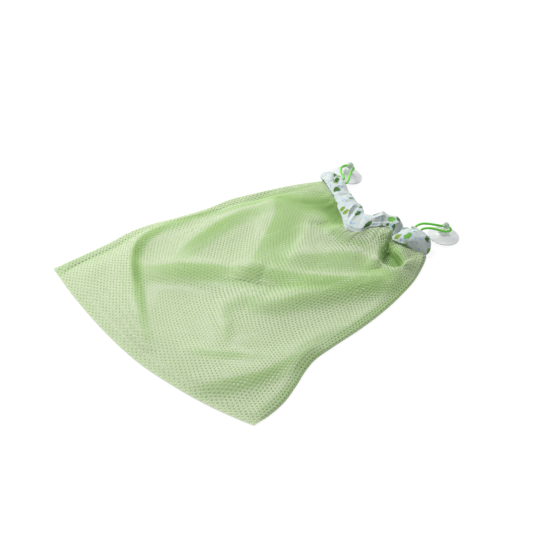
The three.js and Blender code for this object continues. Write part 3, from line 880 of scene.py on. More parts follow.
upper_net = net_cloth("net_upper_layer", upper_layer, net_columns, net_rows, flat_size)
lower_net = net_cloth("net_lower_layer", lower_layer, net_columns, net_rows, flat_size, top=-1)

# %% [markdown]
# ## Side seams
# Each side of the bag is sewn on the inside, so a narrow seam allowance of two more layers of net
# lies between the upper and the lower layer. It shows as a darker band along the side, and its
# overlocked edge as a thin dark line. The band is made as the net is, with smaller holes, because
# two layers of holes seldom meet. The overlock is a thread that runs in a zigzag round the edge.

# %% Seam allowances
seam_end = 8 * mm
seam_columns, seam_rows, seam_grid_steps = 4, 110, 120
seam_relief, seam_wave = 0.3 * mm, 0.3 * mm
seam_wave_along, seam_wave_across = 61, 3  # radians from end to end and from side to side
seam_level = net_thickness + clearance + seam_thickness / 2
thread_radius, thread_sides = 0.22 * mm, 5
overlock_pitch, overlock_width, overlock_outside = 2.4 * mm, 2.2 * mm, 0.4 * mm
overlock_across, overlock_rise = np.array([0, 0.5, 1, 0.5]), np.array([0, 0.9, 0, -0.9])


def side_seam(side_name, line, length, inward):
    """The seam allowance along a side, and the thread that goes over and under its inner edge."""
    start, end = seam_start / length, 1 - seam_end / length

    def band(u, v):
        way = mix(start, end, v)
        spot = beside(line, way, inward * (seam_inset + seam_width * u)) + shift
        wave = seam_wave * np.sin(way * seam_wave_along) * np.sin(u * seam_wave_across)
        return np.column_stack([spot, seam_level + wave, np.ones(len(u)), np.ones(len(u))])

    size = (seam_width, length * (end - start))
    allowance = net_cloth("seam_allowance_" + side_name, band, seam_columns, seam_rows, size,
                          relief=seam_relief, steps=seam_grid_steps)
    step = np.arange(int(size[1] / overlock_pitch) * 4 + 1)
    reach = seam_inset + seam_width + overlock_outside - overlock_across[step % 4] * overlock_width
    spot = beside(line, mix(start, end, step / step[-1]), inward * reach) + shift
    path = np.column_stack([spot, seam_level + overlock_rise[step % 4] * seam_thickness / 2])
    return allowance, report(tube("overlock_thread_" + side_name, path, thread_radius, thread_sides))


seams = {"left": side_seam("left", left_side, left_length, -1),
         "right": side_seam("right", right_side, right_length, 1)}

# %% [markdown]
# ## Cuffs
# Each layer of the net ends in a tunnel of printed cotton: a strip folded in two, sewn to the net and
# gathered by the elastic inside. The gathered upper tunnel puffs into three soft cushions with deep
# creases between them. It is modelled as a tube that goes once round the tunnel, and its section
# changes along the way: how wide it is, how far it puffs, and where small creases cross it. The rim
# is a soft fold, and along the net both plies are pressed flat by the stitches of the hem.

# %% Cushions and creases of the upper cuff
# place along the cuff as a share, thickness as a share of the CAD tunnel's
cuff_puffs = [
    (0, 1.9), (0.05, 1.8), (0.12, 1.25), (0.2, 1.05), (0.3, 1.1), (0.37, 1.0), (0.415, 0.75), (0.46, 0.85),
    (0.5, 0.75), (0.53, 0.8), (0.56, 1.0), (0.6, 0.95), (0.66, 1.2), (0.7, 1.1), (0.735, 1.15), (0.765, 0.8),
    (0.785, 0.4), (0.81, 0.9), (0.86, 1.35), (0.91, 1.5), (0.95, 1.45), (0.98, 1.4), (1, 1.45),
]
# place along (share) and off the middle line (mm) at both ends, rise as a share, and reach in mm
cuff_creases = [
    (0.395, 16, 0.51, -17, 1.6, 1.8), (0.43, 16, 0.525, -20, -1.0, 2.2), (0.5, 11, 0.53, -26, 1.6, 1.8),
    (0.55, 7, 0.56, -24, -1.0, 3.0), (0.61, -3, 0.71, 9, 1.6, 2.0), (0.6, -8, 0.72, 2, -1.6, 2.4),
    (0.64, 19, 0.66, 6, 1.0, 3.0), (0.69, 15, 0.68, 4, -1.3, 2.4), (0.76, 10, 0.75, -7, 1.2, 2.4),
    (0.785, 8, 0.79, -15, -2.6, 2.6), (0.1, 13, 0.12, -9, -1.2, 2.6), (0.17, 14, 0.2, -6, 1.0, 3.2),
    (0.26, 15, 0.29, -4, -0.9, 3.0), (0.33, 16, 0.35, 0, 0.9, 3.0), (0.85, 12, 0.86, 2, -0.9, 2.6),
    (0.94, 14, 0.93, 2, 0.8, 3.0), (0.0, 15, 0.075, 7, -3.4, 2.2), (0.075, 7, 0.15, 8.5, -3.4, 2.2),
]
crease_depth, crease_hem_run, crease_end = 1.6 * mm, 1.5 * mm, 0.06


def crease_lift(s, off):
    """How much the creases raise the upper ply, from places along and off the middle line."""
    lift = np.zeros_like(s)
    for s0, off0, s1, off1, rise, reach in cuff_creases:
        ahead = np.array([(s1 - s0) * cuff_length, (off1 - off0) * mm])
        x, y = (s - s0) * cuff_length, off - off0 * mm
        way = (x * ahead[0] + y * ahead[1]) / ahead.dot(ahead)
        near = np.clip(way, 0, 1)
        away = np.hypot(x - near * ahead[0], y - near * ahead[1])
        fade = np.sqrt(np.sin(math.pi * np.clip(way, crease_end, 1 - crease_end)))
        lift += rise * crease_depth * np.exp(-away / (reach * mm)) * fade
    return lift


print(len(cuff_creases), "creases")

# %% Cuff tunnels
# how far the rounded ends reach past the end seams, and the share along the cuff where the right one starts
upper_ends = (9 * mm, 2.5 * mm, 0.985)
lower_ends = (2 * mm, 2 * mm, 0.965)
cap_steps, cap_tip = 14, 0.04
lower_rim_inset = 1.2 * mm
end_droop, droop_start, droop_run = 3 * mm, 0.93, 0.07  # the right end hangs down over its end seam
rim_lean, lean_start, lean_end, lean_run = 4.5 * mm, 0.13, 0.43, 0.08  # the left cushion leans to its rim
hem_run, hem_half_thickness = 5 * mm, 0.7 * mm
rim_nose = 0.8  # below 1 the section is fuller near its edges than a circle's
ruffle_depth, ruffle_count, ruffle_sway, ruffle_swell = 0.45 * mm, 27, (0.6, 17, 0), (0.4, 31, 0)
belly_ruffle, under_detail = 0.25, 0.5  # what is left of the ruffles on the belly, and of all detail below
wrinkle_depth, wrinkle_run, wrinkle_waves = 0.4 * mm, 60 * mm, (11, 14, 1.0, 6.0)
gathered = 1.15  # the cloth's length for each length of the cuff


def cuff_stations(steps, left, right, last):
    """Shares along the cuff, with finer steps over its rounded ends, and how far open it is at each."""
    cap = np.cos(np.linspace(cap_tip, 1, cap_steps, endpoint=False) * math.pi / 2)
    after = last + cap[::-1] * right / cuff_length
    stations = np.concatenate([-cap * left / cuff_length, np.linspace(0, last, steps + 1), after])
    closing = np.concatenate([cap, np.zeros(steps + 1), cap[::-1]])
    return stations, np.sqrt(1 - closing**2)


def cuff_tunnel(name, steps, points, height, half_puff, upper):
    """A strip of cloth folded round a tunnel: it goes from the hem under it, round the rim and back."""
    stations, opening = cuff_stations(steps, *(upper_ends if upper else lower_ends))
    whole, t = np.meshgrid(stations, np.linspace(0, 1, points + 1), indexing="ij")
    opening = opening[:, None]
    s = np.clip(whole, 0, 1)
    out, rise = -np.cos(2 * math.pi * t), -np.sin(2 * math.pi * t)
    rim, hem = rim_reach(s) - (0 if upper else lower_rim_inset), hem_reach(s)
    off = (rim + hem) / 2 + (rim - hem) / 2 * out * opening
    belly = np.abs(rise) ** rim_nose
    free = smooth((off - hem) / hem_run)
    puff = np.interp(s, *np.array(cuff_puffs).T) if upper else 1.0
    thick = mix(hem_half_thickness, half_puff(s) * puff * belly, free) * opening
    thick = np.where(np.isclose(out, 1), 0, thick)  # the plies meet at the rim
    ruffle = ruffle_depth * pleats(s, ruffle_count, ruffle_sway, ruffle_swell) * cuff_taper(s)
    wrinkle = wrinkle_depth * waves(s * cuff_length / wrinkle_run, t, *wrinkle_waves)
    detail = wrinkle * free + ruffle * mix(1, belly_ruffle, np.abs(rise))
    detail = detail * np.where(rise > 0, 1, under_detail)
    raised = np.maximum(puff - 1, 0) * half_puff(s)
    if upper:
        detail = detail + (rise > 0) * crease_lift(s, off) * belly * smooth((off - hem) / crease_hem_run)
        leaning = smooth((s - lean_start) / lean_run) * smooth((lean_end - s) / lean_run)
        raised = raised - end_droop * smooth((whole - droop_start) / droop_run)
        raised = raised - rim_lean * leaning * np.clip((off - hem) / (rim - hem), 0, 1)
    level = height(s) + raised + np.sign(rise) * thick + detail * opening
    rimward = left_of(cuff_line, s)
    past_end = np.stack([rimward[..., 1], -rimward[..., 0]], -1) * ((whole - s) * cuff_length)[..., None]
    spot = cuff_line(s) + past_end + rimward * off[..., None] + shift
    places = np.dstack([spot, np.maximum(level, clearance)])
    uvs = np.stack([whole * cuff_length * gathered, t * np.mean(rim - hem) * 2], -1) / mm
    return report(skin(name, places, uvs, around=False, ends=False)), places


upper_cuff, upper_places = cuff_tunnel(
    "cuff_upper", steps=480, points=120, height=front_height, half_puff=front_half_puff, upper=True)
lower_cuff, lower_places = cuff_tunnel(
    "cuff_lower", steps=260, points=60, height=back_half_puff, half_puff=back_half_puff, upper=False)

# %% [markdown]
# ## Elastic, end seams and stitches
# A ribbed elastic lies flat in each tunnel. At each end of the mouth both tunnels and the side seam
# are sewn into one stiff stack, and a bar of dense stitches, a bar tack, holds the two ends of each
# loop of cord. Each small stitch is a short curved thread, and the threads of a row are joined.

# %% Elastic bands
elastic_width, elastic_thickness, elastic_ribs, elastic_steps = 8 * mm, 1.0 * mm, 7, 160
elastic_ends = (0.004, 0.96)  # shares of the cuff's line, just inside the end seams
rib_relief, cross_relief, cross_pace = 0.28, 0.1, 3 / mm


def elastic_band(name, height, half_puff):
    """A flat band whose rubber threads make ribs along it; it follows its tunnel's floor."""
    s = np.linspace(*elastic_ends, elastic_steps)[:, None]
    half_turn = np.linspace(0, 1, elastic_ribs * 4 + 1)
    threads = np.abs(np.sin(math.pi * elastic_ribs * half_turn))
    rib = elastic_thickness / 2 * mix(1 - rib_relief, 1, threads)
    across = np.concatenate([half_turn, half_turn[::-1]]) * elastic_width
    rise = np.concatenate([-rib, rib[::-1]])
    share = elastic_width / 2 / (cuff_half_width(s) - net_thickness)
    floor_level = (half_puff(s) - net_thickness) * np.cos(np.arcsin(np.clip(share, 0, 1)))
    level = height(s) - floor_level + clearance + elastic_thickness / 2
    level = level + rise * (1 + cross_relief * np.sin(s * cuff_length * cross_pace))
    off = (rim_reach(s) + hem_reach(s)) / 2 + across - elastic_width / 2
    places = np.dstack([beside(cuff_line, s, off) + shift, level])
    uvs = np.stack(np.broadcast_arrays(s * cuff_length, across), -1) / mm
    return report(skin(name, places, uvs))


elastic_upper = elastic_band("elastic_upper", front_height, front_half_puff)
elastic_lower = elastic_band("elastic_lower", back_half_puff, back_half_puff)

# %% Blocks with soft edges


def block(length, depth, height):
    """A block in the middle of the frame."""
    select()
    bpy.ops.mesh.primitive_cube_add(size=1, location=(0, 0, 0))
    piece = bpy.context.object
    piece.data.transform(Matrix.Diagonal((length, depth, height, 1)))
    return piece


def soften(piece, width, segments, angle):
    """Bevels the edges of a block and shades it smooth across edges flatter than the angle."""
    bevel = piece.modifiers.new("soft edges", "BEVEL")
    bevel.width, bevel.segments, bevel.limit_method = width, segments, "ANGLE"
    select(piece)
    bpy.ops.object.modifier_apply(modifier=bevel.name)
    bpy.ops.object.shade_smooth_by_angle(angle=math.radians(angle))


def put(piece, name, place, turn):
    """Names a piece that was made at the origin, and moves its mesh to its place."""
    piece.name = piece.data.name = name
    piece.data.transform(Matrix.Translation(place) @ turn)
    return report(piece)


# %% End seams
end_seam_thickness, stack_plies, rim_margin = 1.6 * mm, 6, 2 * mm
ply_groove_shares, ply_bevel_share = (0.8, 0.985, 1), 0.22
# place along the cuff, and how far from the hem the stack starts
end_seam_places = {"left": (0.0, 4 * mm), "right": (0.975, 7 * mm)}


def end_seam(side_name, share, from_hem):
    """A stack of cloth plies, pressed together by the seam."""
    height = float(2 * (back_half_puff(share) + front_half_puff(share)) + clearance)
    near = float(hem_reach(share)) + from_hem
    far = min(float(rim_reach(share)), cuff_end_width / 2) - rim_margin
    piece = block(end_seam_thickness, far - near, height)
    select(piece)
    bpy.ops.object.mode_set(mode="EDIT")
    for level in range(1, stack_plies):
        bpy.ops.mesh.select_all(action="SELECT")
        cut = height * (level / stack_plies - 0.5)
        bpy.ops.mesh.bisect(plane_co=(0, 0, cut), plane_no=(0, 0, 1))
    bpy.ops.object.mode_set(mode="OBJECT")
    for vertex in piece.data.vertices:
        if abs(vertex.co.z) < height * (0.5 - 0.5 / stack_plies):
            vertex.co *= Vector(ply_groove_shares)
    soften(piece, height / stack_plies * ply_bevel_share, segments=3, angle=50)
    rimward = left_of(cuff_line, share)
    ahead = np.array([rimward[1], -rimward[0]])
    spot = beside(cuff_line, share, (near + far) / 2) + ahead * clearance * (1 if share > 0 else -1) + shift
    turn = Matrix.Rotation(math.atan2(ahead[1], ahead[0]), 4, "Z")
    return put(piece, "cuff_end_seam_" + side_name, (*spot, height / 2), turn)


end_seams = {side_name: end_seam(side_name, *place) for side_name, place in end_seam_places.items()}

# %% Bar tacks
tack_length, tack_depth, tack_height, tack_threads = 14 * mm, 3 * mm, 4 * mm, 22
tack_shares = {"left": 0.1, "right": 0.845}
pad_shares, pad_bevel_share = (0.98, 0.72, 0.72), 0.3
winding_shares, winding_boxiness, winding_slant = (0.97, 0.86, 0.88), 0.6, 0.25 * mm
tack_thread_share, tack_thread_sides, winding_points = 0.52, 6, 17


def joined(parts):
    """One piece from several, kept under the first one's name."""
    select(*parts)
    bpy.ops.object.join()
    return parts[0]


def bar_tack(side_name, share):
    """A pad of cloth with threads wound closely over it."""
    rimward = left_of(cuff_line, share)
    near = share + np.linspace(-0.5, 0.5, 5) * tack_length / cuff_length
    rim = beside(cuff_line, near, cuff_half_width(near)) - cuff_line(share)
    spot = beside(cuff_line, share, (rim @ rimward).max() + clearance + tack_depth / 2) + shift
    size = np.array((tack_length, tack_depth, tack_height))
    parts = [block(*(size * pad_shares))]
    soften(parts[0], tack_depth * pad_bevel_share, segments=4, angle=60)
    random = np.random.default_rng(seed=5)
    turn = np.linspace(0, 2 * math.pi, winding_points)
    circle = np.stack([np.cos(turn), np.sin(turn)])
    across, up = np.sign(circle) * np.abs(circle) ** winding_boxiness / 2
    for k in range(tack_threads):
        along = np.full(len(turn), (k + 0.5) / tack_threads - 0.5)
        winding = np.column_stack([along, across, up]) * size * winding_shares
        winding[:, 0] += random.uniform(-winding_slant, winding_slant) * np.sin(turn)
        radius = tack_length / tack_threads * tack_thread_share
        parts.append(tube("thread", winding, radius, tack_thread_sides, ends=False))
    turn = Matrix.Rotation(math.atan2(-rimward[0], rimward[1]), 4, "Z")
    return put(joined(parts), "bar_tack_" + side_name, (*spot, float(front_height(share))), turn)


tacks = {side_name: bar_tack(side_name, share) for side_name, share in tack_shares.items()}

# %% Hem stitches
stitch_length, stitch_pitch, stitch_radius, stitch_sides = 2.6 * mm, 3.1 * mm, 0.2 * mm, 5
stitch_margin, stitch_row_share = 4 * mm, 14 / 15
stitch_rise = np.array([-1.2, 0.6, 1, 1, 0.6, -1.2]) * stitch_radius


def hem_stitches(name, places):
    """One row of lockstitch along the hem of a cuff: short threads that dip at both ends."""
    row = places[:, round(stitch_row_share * (places.shape[1] - 1))]
    gone = way_along(row)
    threads = []
    for k in range(int((gone[-1] - 2 * stitch_margin) / stitch_pitch)):
        way = stitch_margin + k * stitch_pitch + np.linspace(0, stitch_length, len(stitch_rise))
        path = np.stack([np.interp(way, gone, column) for column in row.T], -1)
        path[:, 2] += stitch_rise
        threads.append(tube("thread", path, stitch_radius, stitch_sides))
    piece = joined(threads)
    piece.name = name
    return report(piece)


stitches_upper = hem_stitches("hem_stitches_upper", upper_places)
stitches_lower = hem_stitches("hem_stitches_lower", lower_places)

# %% [markdown]
# ## Suction cups
# A suction cup is one moulding of soft, milky PVC: a dished disc with a thin rim, a neck for the
# cord, and a mushroom head that keeps the cord on. It is round, so its outline is drawn once from
# point to point, by extruding a vertex, and spun about its axis. Both cups lean a little on the edge
# of their rim, because the cord holds their necks up.

# %% Cup outline, in mm from the axis and from the rim's plane
cup_radius, cup_rim_width, cup_rim_thickness = 17.5, 1.2, 0.9
cup_hollow, cup_shoulder = 3.4, 9.0
neck_radius, neck_height, head_radius, head_height = 3.1, 3.8, 3.8, 4.9
neck_top = cup_shoulder + neck_height
inner_radius = cup_radius - cup_rim_width
hollow_shares = [(0, 1), (0.25, 0.96), (0.5, 0.8), (0.75, 0.46), (0.92, 0.14)]
cup_outline = [(inner_radius * across, cup_hollow * up) for across, up in hollow_shares] + [
    (inner_radius, 0.02), (cup_radius - 0.15, 0.0), (cup_radius, 0.12), (cup_radius, cup_rim_thickness - 0.2),
    (cup_radius - 0.25, cup_rim_thickness), (cup_radius - 2.2, cup_rim_thickness + 0.55),
    (12.4, 2.2), (9.8, 3.2), (7.6, 4.3), (5.9, 5.6), (4.5, 7.2), (3.5, 8.5), (neck_radius, 9.4),
    (neck_radius - 0.25, 10.6), (neck_radius - 0.15, 11.8), (neck_radius + 0.1, neck_top),
    (head_radius - 0.25, neck_top + 0.25), (head_radius, neck_top + 0.9), (head_radius, neck_top + 2.4),
    (head_radius - 0.35, neck_top + 3.5), (head_radius - 1.2, neck_top + 4.4),
    (head_radius - 2.4, neck_top + 4.8), (0, neck_top + head_height),
]
print(len(cup_outline), "points, up to", neck_top + head_height, "mm high")

# %% Cups
cup_spin_steps, merge_distance = 96, 0.001 * mm
cup_lean = {"left": math.radians(12), "right": math.radians(7)}
cup_bearing = math.radians(47)
cup_shares = {"left": (-0.209, 1.124), "right": (0.2616, 1.1105)}


def suction_cup(side_name):
    """The outline spun to a cup, then leaned on its rim."""
    select()
    bpy.ops.mesh.primitive_plane_add(size=1, location=(0, 0, 0))
    piece = bpy.context.object
    bpy.ops.object.mode_set(mode="EDIT")
    bpy.ops.mesh.merge(type="CENTER")
    bpy.ops.transform.translate(value=Vector((cup_outline[0][0], 0, cup_outline[0][1])) * mm)
    for (r0, z0), (r1, z1) in zip(cup_outline, cup_outline[1:]):
        step = Vector((r1 - r0, 0, z1 - z0)) * mm
        bpy.ops.mesh.extrude_region_move(TRANSFORM_OT_translate={"value": step})
    bpy.ops.mesh.select_all(action="SELECT")
    bpy.ops.mesh.spin(steps=cup_spin_steps, angle=2 * math.pi, center=(0, 0, 0), axis=(0, 0, 1))
    bpy.ops.mesh.select_all(action="SELECT")
    bpy.ops.mesh.remove_doubles(threshold=merge_distance)
    bpy.ops.mesh.normals_make_consistent(inside=False)
    bpy.ops.object.mode_set(mode="OBJECT")
    bpy.ops.object.shade_smooth_by_angle(angle=math.radians(60))
    lean = Matrix.Rotation(cup_lean[side_name], 4, Vector((-math.sin(cup_bearing), math.cos(cup_bearing), 0)))
    spot = np.array(in_metres([cup_shares[side_name]])[0]) + shift
    return put(piece, "cup_" + side_name, (*spot, cup_radius * mm * math.sin(cup_lean[side_name])), lean)


cups = {side_name: suction_cup(side_name) for side_name in ("left", "right")}
for side_name in cups:
    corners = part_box("suction_cup_" + side_name)
    print("CAD cup", side_name, [tuple(round(x / mm, 1) for x in corner) for corner in corners])

# %% [markdown]
# ## Finishes
# Each finish starts from what the material is. Patterns follow the cloth through the UV map named
# cloth, whose units are millimetres, so a pattern's size is written as its real size.
#
# The net is warp-knitted polyester yarn, dyed light green. The yarn is made of shiny filaments that
# scatter light softly, so the cloth has a weak sheen. Each strand is a chain of small knit loops: in
# the real net they are about 0.7 mm long, and the bump follows them. Painted shade makes the colour a
# little deeper at the edges of the holes, where the loops turn away from the light. Where the cloth is
# bunched, its colour is painted deeper still, as painted shade on the folds' shaded sides and in hollows.

# %% Knitted polyester net
wave_period = 2 * math.pi / 20  # Blender's wave texture repeats at this length at scale 1
knit_loop, knit_depth, dye_patch = 0.75, 0.12 * mm, 45
bunched_shade_place = 0.8  # where the middle one of the three colours stands
# each a light colour, a bunched one and a deepest one; on the knitted net the last two are painted shade, on
# the folds' shaded sides and in hollows and the pocket
net_colours_and_shades = {
    "knitted_polyester_net": ("#DFE9CC", "#A3C57D", "#6B9440"),
    "overlocked_net": ("#C4DAA2", "#A8CA80", "#9CC072"),
}
light_through_open, light_through_bunched = 0.45, 0.08


def per_mm(size):
    """The scale that gives a noise or cell pattern this size, on the UV map in millimetres."""
    return 1 / size


def set_ramp(colour, places, tints, interpolation="LINEAR"):
    """Gives a Color Ramp node three colours."""
    ramp = colour.node.color_ramp
    ramp.interpolation = interpolation
    ramp.elements.new(0.5)
    for stop, place, tint in zip(ramp.elements, places, tints):
        stop.position, stop.color = place, linear(tint)


def knitted_net(name):
    """Knitted yarn: less see-through where it is bunched, and painted a deeper green there and at the holes'
    edges, as painted shade.
    """
    constants = {"Roughness": 0.7, "Sheen Weight": 0.2, "Sheen Roughness": 0.45}
    material, tree, shader = new_material(name, constants)
    cloth = add_node(tree, "UVMap", uv_map="cloth")
    drop = add_node(tree, "Attribute", output="Fac", attribute_name="drop")
    bunch_and_shade = add_node(tree, "Attribute", output="Fac", attribute_name="bunch_and_shade")
    # painted shade at the edges of the holes, where the strand turns down
    edge = add_node(tree, "MapRange", {"Value": drop, "From Min": 0.2, "To Max": 0.15})
    dye = add_node(tree, "TexNoise", {"Vector": cloth, "Scale": per_mm(dye_patch), "Detail": 3.0})
    dye = add_node(tree, "MapRange", {"Value": dye, "From Min": 0.3, "From Max": 0.7, "To Max": 0.12})
    depth = add_node(tree, "Math", {0: edge, 1: dye}, operation="MAXIMUM")
    depth = add_node(tree, "Math", {0: depth, 1: bunch_and_shade}, operation="MAXIMUM")
    colour = add_node(tree, "ValToRGB", {0: depth})
    set_ramp(colour, (0, bunched_shade_place, 1), net_colours_and_shades[name])
    loops = {"Vector": cloth, "Scale": wave_period / knit_loop, "Distortion": 1.2}
    loops = add_node(tree, "TexWave", loops, "Fac", bands_direction="DIAGONAL")
    relief = add_node(tree, "Bump", {"Height": loops, "Distance": knit_depth, "Strength": 0.7})
    set_inputs(shader, {"Base Color": colour, "Normal": relief})
    through = add_node(tree, "MapRange", {
        "Value": bunch_and_shade, "To Min": light_through_open, "To Max": light_through_bunched})
    thin = add_node(tree, "BsdfTranslucent", {"Color": colour})
    both = add_node(tree, "MixShader", {0: through, 1: shader.outputs[0], 2: thin})
    set_inputs(tree.nodes["Material Output"], {"Surface": both})
    return material


net_material = knitted_net("knitted_polyester_net")
seam_material = knitted_net("overlocked_net")
print("knit loops of", knit_loop, "mm")

# %% [markdown]
# The cuff is plain-weave cotton, bleached and then printed. Its print is generic: round and oval
# spots in three greens and small pale blue flecks. A Voronoi texture has one point in each cell, so
# a spot round each point gives a print without rows, and a stretched map turns spots into ovals. The
# threads of the weave are 0.4 mm apart; they are drawn 0.8 mm apart so that they can show.

# %% Printed cotton
cotton_white, fleck_blue = "#BEC8C5", "#83A6CE"
spot_greens, green_places = ("#37691F", "#5FA03A", "#71921F"), (0.0, 0.4, 0.7)
# cell in mm, radius and softness as shares of it, turn, stretch, and the share of cells left empty
fleck_pattern, spot_pattern = (3.8, 0.3, 0.1, 0.6, 1.6, 0.45), (12.5, 0.31, 0.03, 0.3, 1.25, 0.3)
least_spot, most_spot = 0.85, 1.5  # factors on a spot's distances: a high one makes it small
wobble_size, wobble_reach = 2.5, 4.5
weave_pitch, crumple_size, crumple_weight, cotton_depth = 0.8, 7, 6.0, 0.1 * mm


def spots(tree, cloth, pattern):
    """A mask of spots of uneven size, one in each cell that isn't empty, and a random value for each."""
    cell, radius, softness, turn, stretch, empty = pattern
    scale = (per_mm(cell), per_mm(cell) * stretch, 1)
    place = add_node(tree, "Mapping", {"Vector": cloth, "Rotation": (0, 0, turn), "Scale": scale})
    cells = {"Vector": place, "Scale": 1.0, "Randomness": 0.8}
    away = add_node(tree, "TexVoronoi", cells, "Distance", voronoi_dimensions="2D")
    chances = add_node(tree, "SeparateColor", {0: away.node.outputs["Color"]}).node.outputs
    uneven = add_node(tree, "MapRange", {"Value": chances[2], "To Min": least_spot, "To Max": most_spot})
    away = add_node(tree, "Math", {0: away, 1: uneven}, operation="MULTIPLY")
    near = add_node(tree, "MapRange", {"Value": away, "From Min": radius, "From Max": radius - softness})
    filled = add_node(tree, "Math", {0: chances[0], 1: empty}, operation="GREATER_THAN")
    return add_node(tree, "Math", {0: near, 1: filled}, operation="MULTIPLY"), chances[1]


def printed_cotton():
    """White cotton with its print, its weave and a slight crumple."""
    material, tree, shader = new_material("printed_cotton", {"Roughness": 0.85, "Sheen Weight": 0.15})
    cloth = add_node(tree, "UVMap", uv_map="cloth")
    wobble = {"Vector": cloth, "Scale": per_mm(wobble_size), "Detail": 2.0}
    shaken = add_node(tree, "TexNoise", wobble, "Color")
    shaken = add_node(tree, "VectorMath", {0: shaken, 1: (wobble_reach,) * 3}, operation="MULTIPLY")
    shaken = add_node(tree, "VectorMath", {0: cloth, 1: shaken}, operation="ADD")
    mask, _ = spots(tree, shaken, fleck_pattern)
    colour = {0: mask, 6: linear(cotton_white), 7: linear(fleck_blue)}
    colour = add_node(tree, "Mix", colour, 2, data_type="RGBA")
    mask, chance = spots(tree, shaken, spot_pattern)
    greens = add_node(tree, "ValToRGB", {0: chance})
    set_ramp(greens, green_places, spot_greens, "CONSTANT")
    colour = add_node(tree, "Mix", {0: mask, 6: colour, 7: greens}, 2, data_type="RGBA")
    pitch = {"Vector": cloth, "Scale": wave_period / weave_pitch}
    threads = {k: add_node(tree, "TexWave", pitch, "Fac", bands_direction=way) for k, way in enumerate("XY")}
    weave = add_node(tree, "Math", threads, operation="MULTIPLY")
    crumple = add_node(tree, "TexNoise", {"Vector": cloth, "Scale": per_mm(crumple_size), "Detail": 2.0})
    height = add_node(tree, "Math", {0: crumple, 1: crumple_weight, 2: weave}, operation="MULTIPLY_ADD")
    relief = add_node(tree, "Bump", {"Height": height, "Distance": cotton_depth, "Strength": 0.6})
    set_inputs(shader, {"Base Color": colour, "Normal": relief})
    return material


cotton_material = printed_cotton()
print("print with spots in cells of", spot_pattern[0], "mm")

# %% [markdown]
# The smaller finishes: white woven elastic with fine cross threads, polyester sewing thread that is
# twisted and slightly shiny, bright green braided cord, and the cups' soft PVC. The PVC is milky:
# light enters it, scatters and comes out softened, so it has transmission, a rough inside and a
# smooth, glossy skin from the mould.

# %% Elastic, thread and cord
fine_dye_patch = 2.2
thread_pitch, thread_roughness, thread_depth = 0.5, 0.5, 0.08 * mm


def fine_cloth(name, light, deep, pitch, roughness, depth, direction="DIAGONAL", uv=True):
    """A finish with fine threads in one direction, slightly uneven dye, and painted shade between the
    threads.
    """
    material, tree, shader = new_material(name, {"Roughness": roughness, "Sheen Weight": 0.1})
    if uv:
        place = add_node(tree, "UVMap", uv_map="cloth")
    else:
        place = add_node(tree, "TexCoord", output="Object")
        place = add_node(tree, "VectorMath", {0: place, 1: (1 / mm,) * 3}, operation="MULTIPLY")
    threads = {"Vector": place, "Scale": wave_period / pitch, "Distortion": 0.6}
    threads = add_node(tree, "TexWave", threads, "Fac", bands_direction=direction)
    dye = add_node(tree, "TexNoise", {"Vector": place, "Scale": per_mm(fine_dye_patch), "Detail": 2.0})
    # the colour is deeper where the threads' bump is low: painted shade between the threads, mixed with the
    # dye's uneven tone
    share = add_node(tree, "Math", {0: threads, 1: dye}, operation="MULTIPLY")
    colour = add_node(tree, "Mix", {0: share, 6: linear(deep), 7: linear(light)}, 2, data_type="RGBA")
    relief = add_node(tree, "Bump", {"Height": threads, "Distance": depth, "Strength": 0.8})
    set_inputs(shader, {"Base Color": colour, "Normal": relief})
    return material


thread = (thread_pitch, thread_roughness, thread_depth)
elastic_material = fine_cloth(
    "woven_elastic", "#F7F7F4", "#DCDCD6", pitch=0.6, roughness=0.75, depth=0.12 * mm, direction="X")
thread_material = fine_cloth("polyester_thread", "#EEF3EC", "#CBD6CC", *thread, uv=False)
green_thread_material = fine_cloth("green_polyester_thread", "#8FBC62", "#6E9C46", *thread, uv=False)
cord_material = fine_cloth(
    "braided_elastic_cord", "#90EA58", "#66CC3A", pitch=0.7, roughness=0.5, depth=0.06 * mm)
print("threads", thread_pitch, "mm apart")

# %% Soft PVC
cloud_size, skin_size, skin_depth = 100 / 9 * mm, 2.5 * mm, 0.05 * mm

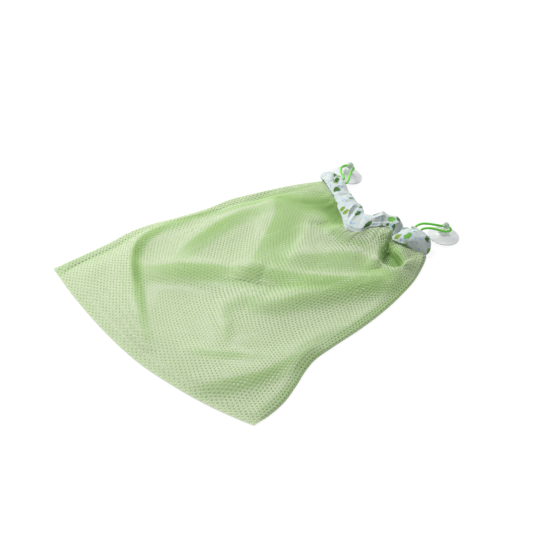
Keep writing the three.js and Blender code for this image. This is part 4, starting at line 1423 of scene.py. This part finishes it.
pvc_material, tree, shader = new_material("moulded_soft_pvc", {
    "Roughness": 0.3, "IOR": 1.45, "Transmission Weight": 0.75, "Coat Weight": 0.3, "Coat Roughness": 0.12})
place = add_node(tree, "TexCoord", output="Object")
cloud = add_node(tree, "TexNoise", {"Vector": place, "Scale": 1 / cloud_size, "Detail": 2.0})
colour = {0: cloud, 6: linear("#EEF1F4"), 7: linear("#FAFBFB")}
skin_grain = add_node(tree, "TexNoise", {"Vector": place, "Scale": 1 / skin_size, "Detail": 1.0})
set_inputs(shader, {
    "Base Color": add_node(tree, "Mix", colour, 2, data_type="RGBA"),
    "Normal": add_node(tree, "Bump", {"Height": skin_grain, "Distance": skin_depth, "Strength": 0.25})})
print("milky clouds of", round(cloud_size / mm, 1), "mm")

# %% [markdown]
# ## Dressing the frame
# Every piece now gets its finish, and the CAD node it stands for is hidden. All but the cords also
# get the body they move with. A cord is sewn to the bag at its root and moves with its loop further
# out, but here it rides on no body.

# %% Finishes, bodies and CAD nodes


def dress(piece, material, body="bag", stands_for=()):
    """Gives a piece its finish and its slot, the body it rides on and the CAD nodes it stands for."""
    piece.data.materials.clear()
    piece.data.materials.append(material)
    if body:
        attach(piece, body)
    if stands_for:
        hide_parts(*stands_for)


dress(upper_net, net_material, stands_for=["net_front"])
dress(lower_net, net_material, stands_for=["net_back"])
dress(upper_cuff, cotton_material, stands_for=["cuff_front"])
dress(lower_cuff, cotton_material, stands_for=["cuff_back"])
dress(elastic_upper, elastic_material, stands_for=["elastic_front"])
dress(elastic_lower, elastic_material, stands_for=["elastic_back"])
dress(stitches_upper, thread_material)
dress(stitches_lower, thread_material)
for side_name, (allowance, overlock) in seams.items():
    dress(allowance, seam_material, stands_for=["side_seam_" + side_name])
    dress(overlock, green_thread_material)
    dress(end_seams[side_name], thread_material, stands_for=["cuff_seam_" + side_name])
    dress(tacks[side_name], thread_material, stands_for=["loop_tack_" + side_name])
    dress(cups[side_name], pvc_material, side_name + "_cup", ["suction_cup_" + side_name])
print("dressed on the right:", seams["right"][0].name, end_seams["right"].name, cups["right"].name)

# %% Cords
for side_name, (cord, path, length) in cords.items():
    dress(cord, cord_material, body=None, stands_for=["loop_" + side_name])
    rimward = left_of(cuff_line, tack_shares[side_name])
    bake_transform(cord)
